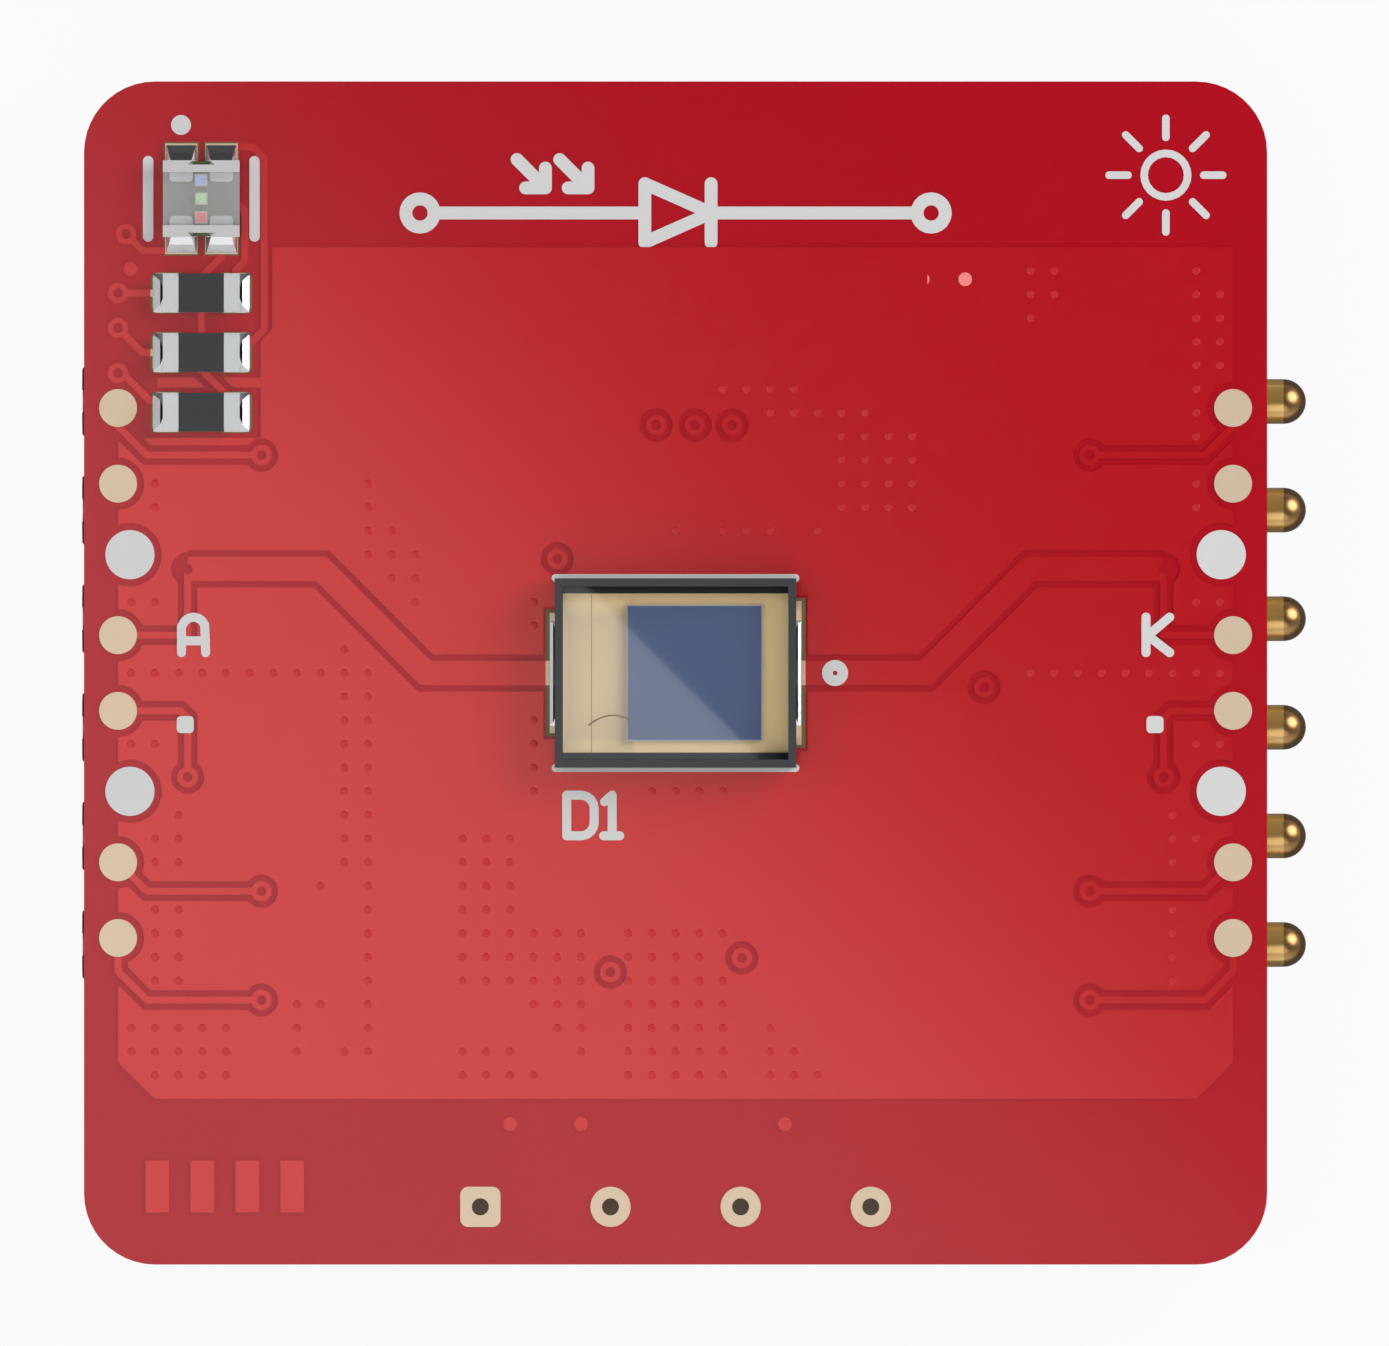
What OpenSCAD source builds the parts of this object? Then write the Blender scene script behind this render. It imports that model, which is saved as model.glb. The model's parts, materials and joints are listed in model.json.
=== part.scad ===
// Photodiode sensor module: a square circuit board with a windowed photodiode at its centre, an indicator
// light and its resistors in one corner, and a spring-pin row and a target-contact row under two opposite
// edges. The origin is under the board's centre, on the plane that the connectors stand on. Millimetres.

/* [Board] */
// Side of the square board
board_w = 25; // [23:0.5:32]
// Thickness of the laminate
board_t = 1.6; // [0.8:0.1:2.4]
// Radius of the board's corners
board_corner_r = 1.5; // [0.5:0.1:2.5]
// Thickness of the copper layers
copper_t = 0.035; // [0.018:0.001:0.1]
// Thickness of the white printed marks
silk_t = 0.02; // [0.01:0.005:0.05]

/* [Copper fill and traces] */
// Margin of the copper fill at the left and right edges
pour_side_margin = 0.72; // [0.5:0.02:1]
// Margin of the copper fill at the top and bottom edges
pour_end_margin = 3.5; // [3.2:0.1:4]
// Chamfer of the fill's bottom corners
pour_chamfer = 0.77; // [0.3:0.01:1.2]
// Distance of the fill's corner step from the left edge
pour_step_x = 3.98; // [3.96:0.01:4.2]
// Distance of the fill's corner step from the top edge
pour_step_y = 7.53; // [7.5:0.01:7.6]
// Width of a signal trace
trace_w = 0.15; // [0.1:0.01:0.2]
// Width of the two sensor traces
sensor_trace_w = 0.52; // [0.3:0.02:0.6]
// Gap between the copper fill and the traces in it
copper_gap = 0.13; // [0.08:0.01:0.16]
// Diameter of a via pad
via_d = 0.44; // [0.3:0.02:0.5]
// Diameter of the dimple in a via pad
via_hole_d = 0.2; // [0.1:0.02:0.26]
// Distance of the signal vias from the board's sides
signal_via_margin = 3.75; // [3:0.05:5]
// Distance of the sensor vias from the board's sides
sensor_via_margin = 2.19; // [1.9:0.01:2.6]
// Distance of the sensor vias from the board's centre line
sensor_via_y = 2.2; // [2:0.05:2.6]

/* [Edge pads] */
// Diameter of a gold test pad
edge_pad_d = 0.8; // [0.6:0.02:0.9]
// Pitch of the test pads along the edge
edge_pad_pitch = 1.6; // [1.5:0.02:1.7]
// Distance of the test pads from the edge
edge_pad_margin = 0.72; // [0.6:0.02:0.9]
// Distance of the outermost test pads from the board's top and bottom edges
edge_pad_end = 6.9; // [6.8:0.02:7]
// Diameter of a white printed disc
edge_disc_d = 1.04; // [0.8:0.02:1.1]
// Distance of the printed discs from the edge
edge_disc_margin = 0.97; // [0.8:0.01:1.1]
// Offset of the printed discs outwards from midway between the pads beside them
edge_disc_y = 0.1; // [0:0.02:0.18]
// Gap between the copper fill and the pads or discs
pad_gap = 0.15; // [0.1:0.01:0.2]

/* [Header holes] */
// Pitch of the header holes
header_pitch = 2.75; // [2:0.05:4]
// Distance of the header row from the bottom edge
header_margin = 1.22; // [0.8:0.02:2]
// Diameter of the header pads
header_pad_d = 0.85; // [0.7:0.01:1.2]
// Diameter of the finished hole
header_hole_d = 0.36; // [0.3:0.02:0.6]
// Thickness of the plating in the hole
plating_t = 0.015; // [0.01:0.001:0.04]
// Corner radius of the square first pad
header_pad_corner_r = 0.17; // [0.05:0.01:0.3]

/* [Photodiode] */
// Length of the package
sensor_w = 5.1; // [4.9:0.05:6]
// Depth of the package
sensor_d = 4; // [3.8:0.05:4.4]
// Height of the package above its lands
sensor_h = 0.9; // [0.8:0.05:1.4]
// Thickness of the package's base
sensor_base_t = 0.25; // [0.15:0.01:0.3]
// Thickness of the terminal plating
sensor_terminal_t = 0.03; // [0.02:0.005:0.05]
// Wall of the frame at the terminal ends
sensor_side_wall = 0.17; // [0.1:0.01:0.25]
// Wall of the frame along the long sides
sensor_end_wall = 0.17; // [0.1:0.01:0.25]
// Width of the ledge that carries the window
sensor_ledge_w = 0.15; // [0.1:0.01:0.2]
// Thickness of the window
window_t = 0.2; // [0.1:0.01:0.25]
// Depth of the window below the frame's rim
window_inset = 0.02; // [0.01:0.005:0.05]
// Gap round the window in its frame
window_clear = 0.01; // [0.005:0.005:0.02]
// Thickness of the gold floor plates
floor_t = 0.02; // [0.01:0.005:0.04]
// Width of the wire-bond plate
floor_pad_w = 0.6; // [0.4:0.02:0.7]
// Seam between the two floor plates
floor_seam = 0.01; // [0.01:0.005:0.03]
// Side of the square silicon die
die_w = 2.86; // [2:0.02:3]
// Thickness of the die
die_t = 0.16; // [0.1:0.01:0.2]
// Offset of the die towards the cathode end
die_x = 0.4; // [0.36:0.01:0.44]
// Diameter of the photodiode's bond wire
bond_wire_d = 0.03; // [0.02:0.005:0.04]
// Width of the anode terminal and its land
anode_land_w = 2.54; // [2:0.02:3.2]
// Width of the cathode terminal and its land
cathode_land_w = 3.04; // [2:0.02:3.4]
// Reach of the lands past the package
sensor_land_toe = 0.11; // [0.08:0.01:0.3]

/* [Indicator light] */
// Side of the square package
led_w = 1.62; // [1.4:0.02:1.7]
// Height of the package
led_h = 0.5; // [0.45:0.05:0.8]
// Thickness of its base
led_base_t = 0.2; // [0.12:0.02:0.24]
// Thickness of its plated terminals
led_terminal_t = 0.02; // [0.01:0.005:0.03]
// Depth of the pale rim bars
led_rim_d = 0.25; // [0.2:0.01:0.3]
// Width of each terminal
led_terminal_w = 0.6; // [0.5:0.02:0.66]
// Gap between the two terminals of one end
led_terminal_gap = 0.17; // [0.1:0.01:0.3]
// Side of a light-emitting die
led_die_w = 0.26; // [0.16:0.02:0.3]
// Thickness of a light-emitting die
led_die_t = 0.1; // [0.06:0.01:0.14]
// Pitch of the three dies
led_die_pitch = 0.395; // [0.34:0.005:0.4]
// Reach of the lands past the package
led_land_toe = 0.36; // [0.3:0.02:0.5]
// Distance of the light's centre from the left and top edges
led_margin = 2.48; // [2.44:0.01:2.5]

/* [Chip resistors] */
// Length of a resistor
chip_l = 1.62; // [1.5:0.02:1.7]
// Width of a resistor
chip_w = 0.82; // [0.7:0.02:0.9]
// Height of a resistor
chip_h = 0.45; // [0.35:0.01:0.6]
// Length of an end cap
chip_cap_l = 0.33; // [0.2:0.01:0.4]
// Thickness of the end caps' metal
chip_cap_t = 0.03; // [0.02:0.005:0.05]
// Thickness of the dark coat
chip_coat_t = 0.025; // [0.01:0.005:0.04]
// Pitch of the resistors
chip_pitch = 1.26; // [1.2:0.01:1.32]
// Distance of the first resistor from the top edge
chip_margin = 4.47; // [4.4:0.01:4.5]
// Reach of the lands past the chip
chip_land_toe = 0.22; // [0.21:0.01:0.3]
// Corner radius of the lands
chip_land_r = 0.12; // [0.05:0.01:0.2]

/* [Connectors] */
// Height of both connector housings
housing_h = 2.4; // [2.3:0.1:4]
// Pitch of the contacts
contact_pitch = 2.3; // [2.1:0.05:2.6]
// Length of the housings past the outer contacts
housing_end = 1.4; // [1.2:0.1:2]
// Chamfer of the housings' lower edges
housing_chamfer = 0.25; // [0.1:0.05:0.4]
// Thickness of the solder tails
tail_t = 0.2; // [0.15:0.01:0.3]
// Width of the solder tails
tail_w = 0.6; // [0.4:0.02:0.8]
// Length of the tails' feet on the board
tail_foot = 1.1; // [0.8:0.05:1.6]
// Reach of the lands past the tails
tail_land_toe = 0.3; // [0.2:0.02:0.5]

/* [Spring pins] */
// Diameter of a plunger
pin_d = 0.95; // [0.7:0.01:1]
// Reach of the plungers past the board's edge
pin_reach = 0.85; // [0.75:0.01:1.2]
// Travel of a plunger
pin_travel = 0.7; // [0.4:0.05:0.7]
// Running clearance round a plunger, on the radius
pin_clear = 0.03; // [0.02:0.005:0.05]
// Radial step of the plunger's collar
collar_step = 0.1; // [0.06:0.01:0.12]
// Length of the plunger's collar
collar_l = 0.45; // [0.3:0.05:0.6]
// Clearance between the collar and the barrel's lip at rest
collar_gap = 0.02; // [0.01:0.005:0.04]
// Diameter of the spigot inside the spring
spigot_d = 0.5; // [0.3:0.02:0.56]
// Length of the spigot
spigot_l = 0.7; // [0.4:0.05:0.9]
// Wall of a barrel
barrel_wall = 0.15; // [0.1:0.01:0.2]
// Thickness of the barrel's lip
barrel_lip = 0.25; // [0.15:0.01:0.4]
// Thickness of the barrel's closed back
barrel_back = 0.3; // [0.2:0.01:0.5]
// Diameter of the spring wire
spring_wire_d = 0.11; // [0.08:0.01:0.12]
// Active turns of a spring
spring_turns = 5; // [4:1:7]
// Open length left in a spring at full travel
spring_slack = 1.51; // [1.2:0.01:2]
// Setback of the spring-pin housing from the board's edge
pin_setback = 0.1; // [0.05:0.01:0.3]
// Gap between the barrels and the housing
barrel_clear = 0.01; // [0.005:0.005:0.03]

/* [Target contacts] */
// Diameter of a boss round a target contact
boss_d = 1.46; // [1.3:0.02:1.8]
// Reach of the bosses past the board's edge
boss_proud = 0.063; // [0.05:0.001:0.2]
// Chamfer of a boss
boss_chamfer = 0.035; // [0.01:0.005:0.05]
// Diameter of a target contact
contact_d = 1; // [0.7:0.02:1.1]
// Recess of the contact's face in its boss
contact_recess = 0.03; // [0.01:0.005:0.05]
// Width of the notch over the contact
boss_notch_w = 0.48; // [0.3:0.02:0.6]
// Depth of the target housing
target_housing_d = 3; // [2.4:0.1:4]
// Setback of the target housing from the board's edge
target_setback = 0.05; // [0.02:0.01:0.2]

/* [Hidden] */
header_count = 4;
chip_count = 3;
contact_count = 6;
chip_pieces = ["ceramic", "coat", "end_caps", "solder"];
$fn = 48;
// Overrun of a cut past an open face, and the straight bit left between two round ends
cut_over = 1;
hair = 0.002;

// Levels and edges that the pieces share
half = board_w / 2;
under_z = housing_h;
top_z = under_z + board_t;
copper_z = top_z + copper_t;
pad_x = half - edge_pad_margin;
disc_x = half - edge_disc_margin;
signal_via_x = half - signal_via_margin;
sensor_via_x = half - sensor_via_margin;
header_y = header_margin - half;
pad_outer_y = half - edge_pad_end;
pad_ys = [edge_pad_pitch / 2, pad_outer_y - edge_pad_pitch, pad_outer_y];
disc_y = (pad_ys[0] + pad_ys[1]) / 2 + edge_disc_y;
sides = [-1, 1];

// Traces: knees at 45 degrees, and a hair of room where a trace meets a round pad
knee = 0.61;
pad_join = 0.004;
short_drop = 0.384;
long_drop = 0.7;
sensor_bend_run = 2.62;
sensor_knee = 0.15;
dot_d = 0.3;
// Vias that stand alone in the fill, measured from the board's centre
ring_vias = concat(
    [[-2.5, 2.41], [-1.38, -6.32], [1.4, -6.02], [6.52, -0.3]],
    [for (x = [-0.41, 0.41, 1.19]) [x, 5.24]]
);
// Dots below the fill's bottom edge
loose_dot_xs = [-3.5, -2, 2.31];
loose_dot_drop = 0.53;
// Places where the indicator corner's traces turn and meet their lands
corner_knee = 0.25;
corner_dot_shift = [0.26, 0.51];
second_via_lift = 0.52;
third_via_lift = 0.83;
led_via_shift = 0.17;
led_via_lift = 0.35;
land_entry = 0.25;
land_stub = 0.06;
land_margin = 0.01;
bar_gap = 0.02;
under_chips_run = 0.42;
beside_light_run = 0.2;
patch_gap = 0.1;
pour_step_lift = 0.5;
coupon_count = 4;
coupon_size = [0.5, 1.1];
coupon_pitch = 0.95;
coupon_corner = [1.3, 1.1];

// Photodiode levels
sensor_bottom_z = copper_z + sensor_terminal_t;
sensor_floor_z = sensor_bottom_z + sensor_base_t;
sensor_top_z = copper_z + sensor_h;
window_top_z = sensor_top_z - window_inset;
ledge_z = window_top_z - window_t;
cavity_w = sensor_w - 2 * sensor_side_wall;
cavity_d = sensor_d - 2 * (sensor_end_wall + sensor_ledge_w);
pocket_d = sensor_d - 2 * sensor_end_wall;
sensor_land_x = sensor_w / 2 + sensor_land_toe;
sensor_land_heel = 0.6;
sensor_land_l = sensor_land_heel + sensor_land_toe;
sensor_terminal_margin = 0.15;
sensor_fillet_h = 0.13;
sensor_fillet_knee = [0.04, 0.05];
sensor_fillet_lean = 0.15;
sensor_solder_w = 2.22;
seam_x = floor_pad_w - cavity_w / 2;
die_z = sensor_floor_z + floor_t;
// Bond wire: both feet in plan, the rise of its arch and its sideways lean
bond_foot = 0.05;
bond_start_y = -1.1;
bond_end_y = -0.98;
bond_rise = 0.16;
bond_lean = 0.14;

// Indicator light and resistors: centres from the top left corner
led_centre = [led_margin - half, half - led_margin];
led_top_z = copper_z + led_h;
led_base_top_z = copper_z + led_terminal_t + led_base_t;
led_pad_z = led_base_top_z + led_terminal_t;
led_lens_d = led_w - 2 * led_rim_d;
led_lens_drop = 0.03;
led_inner_pad_w = 0.49;
led_inner_pad_l = 0.2;
led_inner_pad_r = 0.08;
led_land_w = 0.68;
led_land_heel = 0.3;
led_land_x = (led_terminal_gap + led_land_w) / 2;
led_terminal_x = led_land_x;
led_notch_mouth_w = 0.34;
led_notch_w = 0.58;
led_notch_d = 0.09;
led_wire_d = 0.02;
led_wire_sides = 6;
led_fillet_l = 0.32;
led_fillet_h = 0.15;
led_fillet_knee = [0.16, 0.09];
led_fillet_lean = 0.11;
chip_x = led_centre[0];
chip_land_x = chip_l / 2 + chip_land_toe;
chip_land_heel = 0.42;
chip_fillet_l = 0.2;
chip_fillet_h = 0.17;
chip_fillet_knee = [0.06, 0.085];
chip_fillet_lean = 0.3;
chip_cap_inset = 0.04;
fillet_toe = 0.02;
led_bar_size = [0.22, 1.81];
led_bar_gap = 0.205;
led_bar_x = led_w / 2 + led_bar_gap + led_bar_size[0] / 2;
led_dot_d = 0.42;
led_dot_offset = [-0.43, 1.56];

// Printed marks on the copper
outline_w = 0.17;
outline_show = 0.09;
outline_over = 0.065;
donut_d = 0.55;
donut_hole_d = 0.1;
donut_gap = 0.545;
donut_x = sensor_w / 2 + donut_gap + donut_d / 2;
key_mark_w = 0.36;
key_mark_r = 0.09;
key_mark_y = -1.09;
key_mark_xs = [2.14 - half, half - 2.37];

// Connectors: the pins' axis and the planes along X
axis_z = housing_h / 2;
housing_l = (contact_count - 1) * contact_pitch + 2 * housing_end;
spring_end_turns = 1;
spring_l = (spring_turns + 2 * spring_end_turns) * spring_wire_d + pin_travel + spring_slack;
pin_front_x = half - pin_setback;
collar_d = pin_d + 2 * collar_step;
bore_d = collar_d + 2 * pin_clear;
barrel_d = bore_d + 2 * barrel_wall;
lip_x = pin_front_x - barrel_lip;
collar_front_x = lip_x - collar_gap;
collar_back_x = collar_front_x - collar_l;
bore_back_x = collar_back_x - spring_l;
pin_back_x = bore_back_x - barrel_back;
nose_x = half + pin_reach - pin_d / 2;
spring_d = (spigot_d + bore_d) / 2;
spring_steps = 12;
closed_coil_pitch = 1.05;
spring_sides = 6;
wire_sides = 8;
wire_steps = 14;
target_front_x = half - target_setback;
target_back_x = target_front_x - target_housing_d;
boss_x = half + boss_proud;
contact_face_x = boss_x - contact_recess;
contact_clear = 0.01;
tail_fillet_l = 0.22;
tail_fillet_knee = [0.08, 0.09];
tail_fillet_lean = 0.05;
tail_land_margin = 0.1;
tail_land_w = tail_w + 2 * tail_land_margin;
mask_red = "#b5202a";
copper_red = "#c9403f";
gold = "#d8c19a";
pin_gold = "#b08a3c";
solder_grey = "#c9cbcd";
silk_white = "#dcdcdc";
frame_grey = "#424648";
housing_black = "#1c1c1e";

// Place of header hole n along the bottom edge, counted from the left
function header_x(n) = (n - (header_count + 1) / 2) * header_pitch;
// Place of contact n along the edge, counted from the bottom of the board
function contact_y(n) = (n - (contact_count + 1) / 2) * contact_pitch;
// Centre of resistor n, counted from the top
function chip_y(n) = half - chip_margin - (n - 1) * chip_pitch;
function unit(v) = v / norm(v);
function left_of(v) = [-v[1], v[0]];
// A route's point i, moved sideways by d and mitred with its neighbours
function mitred(route, i, d) =
    let (
        last = len(route) - 1,
        before = left_of(unit(route[max(i, 1)] - route[max(i, 1) - 1])),
        after = left_of(unit(route[min(i, last - 1) + 1] - route[min(i, last - 1)]))
    )
    route[i] + d * (before + after) / (1 + before * after);
function track_outline(route, w) =
    let (last = len(route) - 1)
    concat(
        [for (i = [0:last]) mitred(route, i, w / 2)],
        [for (i = [last:-1:0]) mitred(route, i, -w / 2)]
    );

// Route from the test pad at height y: straight by drop, a knee, then level to its via
function edge_route(y, drop) =
    concat(
        [[pad_x, y]],
        drop > 0 ? [[pad_x, y - drop]] : [],
        [[pad_x - knee, y - drop - knee], [signal_via_x, y - drop - knee]]
    );
pad_row = concat([for (i = [2:-1:0]) -pad_ys[i]], pad_ys);
// Routes of the right half; the left half mirrors them
signal_routes = [
    edge_route(pad_row[5], short_drop),
    edge_route(pad_row[1], 0),
    edge_route(pad_row[0], long_drop)
];
sensor_routes = [
    [[pad_x, pad_row[3]], [sensor_via_x, pad_row[3]], [sensor_via_x, sensor_via_y]],
    [
        [pad_x, pad_row[2]],
        [sensor_via_x + sensor_knee, pad_row[2]],
        [sensor_via_x, pad_row[2] - sensor_knee],
        [sensor_via_x, -sensor_via_y]
    ]
];
sensor_bend_x = sensor_land_x + sensor_bend_run;
wide_route = [
    [sensor_via_x, sensor_via_y],
    [sensor_bend_x + sensor_via_y, sensor_via_y],
    [sensor_bend_x, 0],
    [sensor_land_x, 0]
];
fill_vias = concat(
    [for (route = signal_routes) route[len(route) - 1]],
    [for (row = sides) [sensor_via_x, row * sensor_via_y]]
);
// Routes and vias of the indicator corner
chip_left = chip_x - chip_land_x;
chip_right = chip_x + chip_land_x;
chip_land_w = chip_w + 2 * land_margin;
led_left = led_centre[0] - led_land_x - led_land_w / 2;
led_right = led_centre[0] + led_land_x + led_land_w / 2;
led_land_end = led_w / 2 + led_land_toe;
led_run_y = led_land_end - trace_w / 2;
led_low_y = led_centre[1] - led_run_y;
led_high_y = led_centre[1] + led_run_y;
corner_via_x = -pad_x;
corner_dot = [corner_via_x + corner_dot_shift[0], chip_y(1) + corner_dot_shift[1]];
beside_bar_x = led_centre[0] + led_bar_x + (led_bar_size[0] + trace_w) / 2 + bar_gap;
beside_light_x = led_centre[0] + led_bar_x - (led_bar_size[0] + trace_w) / 2 - bar_gap;
beside_light_y = chip_y(1) + chip_land_w / 2 + land_stub;
beside_bar_y = chip_y(2) + land_entry + beside_bar_x - chip_right - land_stub;
under_chips_y = chip_y(3) + chip_land_w / 2 + land_stub;
corner_routes = [
    [[corner_via_x, chip_y(1)], [chip_left, chip_y(1)]],
    [
        [corner_via_x, chip_y(2) + second_via_lift],
        [corner_via_x + second_via_lift, chip_y(2)],
        [chip_left, chip_y(2)]
    ],
    [
        [corner_via_x, chip_y(3) + third_via_lift],
        [chip_left - land_stub - third_via_lift + land_entry, chip_y(3) + third_via_lift],
        [chip_left - land_stub, chip_y(3) + land_entry],
        [chip_left, chip_y(3) + land_entry]
    ],
    [
        [corner_via_x + led_via_shift, led_low_y + led_via_lift],
        [corner_via_x + led_via_shift + led_via_lift, led_low_y],
        [led_left, led_low_y]
    ]
];
corner_vias = [for (route = corner_routes) route[0]];
// Traces from the light to the resistors: under it and down its side, beside the printed bar, under the chips
led_routes = [
    [
        [led_centre[0] - led_land_x, led_centre[1] + led_w / 2 - led_land_heel],
        [led_centre[0] - led_land_x, led_centre[1] + corner_knee],
        [led_centre[0] - led_land_x + corner_knee, led_centre[1]],
        [beside_light_x - corner_knee, led_centre[1]],
        [beside_light_x, led_centre[1] - corner_knee],
        [beside_light_x, beside_light_y + beside_light_run],
        [beside_light_x - beside_light_run, beside_light_y],
        [beside_light_x - beside_light_run, beside_light_y - land_stub]
    ],
    [
        [led_right, led_high_y],
        [beside_bar_x - corner_knee, led_high_y],
        [beside_bar_x, led_high_y - corner_knee],
        [beside_bar_x, beside_bar_y],
        [chip_right + land_stub, chip_y(2) + land_entry],
        [chip_right, chip_y(2) + land_entry]
    ],
    [
        [led_centre[0] + led_land_x, led_centre[1] - led_land_end],
        [led_centre[0] + led_land_x, led_centre[1] - led_land_end - land_stub],
        [chip_x, led_centre[1] - led_land_end - land_stub - led_land_x],
        [chip_x, under_chips_y + under_chips_run],
        [chip_x + under_chips_run, under_chips_y],
        [chip_x + under_chips_run, under_chips_y - land_stub]
    ]
];
// Copper between the second and third resistors, on both sides of the trace that slants across it
patch_y = (chip_y(2) + chip_y(3)) / 2;
patch_h = chip_pitch - chip_land_w - 2 * patch_gap;
patch_middle = chip_x + under_chips_y + under_chips_run - patch_y;
patch_side = (trace_w / 2 + copper_gap) * sqrt(2);
patch_start = chip_left + patch_gap;

// Rectangle with round corners, centred
module round_rect(size, r) {
    square([size[0] - 2 * r, size[1]], center = true);
    square([size[0], size[1] - 2 * r], center = true);
    for (x = sides, y = sides)
        translate([x * (size[0] / 2 - r), y * (size[1] / 2 - r)])
            circle(r);
}

module track(route, w) {
    polygon(track_outline(route, w));
}

// A plate of the given outline, from level z up by t
module layer(z, t) {
    translate([0, 0, z])
        linear_extrude(t)
            children();
}

// Both halves of what is drawn for the right half
module both_sides() {
    children();
    mirror([1, 0, 0])
        children();
}

// Solder fillet: l along X from the wall at the origin, h up the wall, w wide along Y at its foot. Its slope
// changes at the knee, given from the wall's foot, and both flanks lean in by the given amount
module fillet(l, h, w, knee, lean) {
    intersection() {
        rotate([90, 0, 0])
            linear_extrude(w, center = true)
                polygon([[0, 0], [l, 0], [l, fillet_toe], knee, [0, h]]);
        rotate([90, 0, 90])
            linear_extrude(l)
                polygon([[-w / 2, 0], [w / 2, 0], [w / 2 - lean, h], [lean - w / 2, h]]);
    }
}

// Round wire of diameter d through the points; the wire never runs along the vector across
module wire(points, d, edges, across) {
    last = len(points) - 1;
    rings = [
        for (i = [0:last])
            let (
                along = unit(points[min(i + 1, last)] - points[max(i - 1, 0)]),
                u = unit(cross(along, across)),
                v = cross(along, u)
            )
            for (k = [0:edges - 1])
                points[i] + d / 2 * (cos(360 * k / edges) * u + sin(360 * k / edges) * v)
    ];
    walls = [
        for (i = [0:last - 1], k = [0:edges - 1])
            let (next = (k + 1) % edges)
            [i * edges + k, i * edges + next, (i + 1) * edges + next, (i + 1) * edges + k]
    ];
    start = [[for (k = [edges - 1:-1:0]) k]];
    end = [[for (k = [0:edges - 1]) last * edges + k]];
    polyhedron(rings, concat(walls, start, end));
}

// Board

module circuit_board() {
    color(mask_red)
        layer(under_z, board_t)
            difference() {
                round_rect([board_w, board_w], board_corner_r);
                header_places()
                    circle(d = header_hole_d + 2 * plating_t);
            }
}

module header_places() {
    for (n = [1:header_count])
        translate([header_x(n), header_y])
            children();
}

module edge_pad_places() {
    for (side = sides, y = pad_row)
        translate([side * pad_x, y])
            children();
}

module edge_disc_places() {
    for (x = sides, y = sides)
        translate([x * disc_x, y * disc_y])
            children();
}

module via_places(places) {
    for (place = places)
        translate(place)
            children();
}

module pour_outline() {
    edge_x = half - pour_side_margin;
    end_y = half - pour_end_margin;
    step_x = pour_step_x - half;
    step_y = half - pour_step_y;
    polygon([
        [-edge_x, pour_chamfer - end_y],
        [pour_chamfer - edge_x, -end_y],
        [edge_x - pour_chamfer, -end_y],
        [edge_x, pour_chamfer - end_y],
        [edge_x, end_y],
        [step_x, end_y],
        [step_x, chip_y(2) + pour_step_lift],
        [step_x - corner_knee, chip_y(2) + pour_step_lift - corner_knee],
        [step_x - corner_knee, patch_y + patch_h / 2],
        [patch_middle + patch_side - patch_h / 2, patch_y + patch_h / 2],
        [patch_middle + patch_side + patch_h / 2, patch_y - patch_h / 2],
        [step_x - corner_knee, patch_y - patch_h / 2],
        [step_x - corner_knee, step_y],
        [-edge_x, step_y]
    ]);
}

module copper_pour() {
    color(copper_red)
        layer(top_z, copper_t)
            difference() {
                pour_outline();
                both_sides() {
                    for (route = concat(signal_routes, sensor_routes))
                        track(route, trace_w + 2 * copper_gap);
                    track(wide_route, sensor_trace_w + 2 * copper_gap);
                    via_places(fill_vias)
                        circle(d = via_d + 2 * copper_gap);
                }
                via_places(ring_vias)
                    circle(d = via_d + 2 * copper_gap);
                edge_pad_places()
                    circle(d = edge_pad_d + 2 * pad_gap);
                edge_disc_places()
                    circle(d = edge_disc_d + 2 * pad_gap);
                for (end = sides)
                    translate([end * (sensor_land_x - sensor_land_l / 2), 0])
                        square(
                            [sensor_land_l + 2 * copper_gap, sensor_land_width(end) + 2 * copper_gap],
                            center = true
                        );
            }
}

// One trace with its vias, trimmed where it meets the round test pads
module trace(route, w, vias) {
    layer(top_z, copper_t)
        difference() {
            union() {
                track(route, w);
                via_places(vias)
                    circle(d = via_d);
            }
            via_places(vias)
                circle(d = via_hole_d);
            edge_pad_places()
                circle(d = edge_pad_d + 2 * pad_join);
        }
}

module copper_traces() {
    color(copper_red) {
        both_sides() {
            for (route = signal_routes)
                trace(route, trace_w, [route[len(route) - 1]]);
            trace(sensor_routes[1], trace_w, [[sensor_via_x, -sensor_via_y]]);
            layer(top_z, copper_t)
                difference() {
                    union() {
                        track(sensor_routes[0], trace_w);
                        track(wide_route, sensor_trace_w);
                    }
                    translate([sensor_via_x, sensor_via_y])
                        circle(d = via_hole_d);
                    edge_pad_places()
                        circle(d = edge_pad_d + 2 * pad_join);
                }
        }
        for (route = corner_routes)
            trace(route, trace_w, [route[0]]);
        for (route = led_routes)
            trace(route, trace_w, []);
        layer(top_z, copper_t) {
            via_places(ring_vias)
                difference() {
                    circle(d = via_d);
                    circle(d = via_hole_d);
                }
            polygon([
                [patch_start, patch_y + patch_h / 2],
                [patch_start, patch_y - patch_h / 2],
                [patch_middle - patch_side + patch_h / 2, patch_y - patch_h / 2],
                [patch_middle - patch_side - patch_h / 2, patch_y + patch_h / 2]
            ]);
            translate(corner_dot)
                circle(d = dot_d);
            via_places([for (x = loose_dot_xs) [x, pour_end_margin - half - loose_dot_drop]])
                circle(d = dot_d);
            for (n = [0:coupon_count - 1])
                translate([coupon_corner[0] - half + n * coupon_pitch, coupon_corner[1] - half])
                    square(coupon_size);
        }
    }
}

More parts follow.
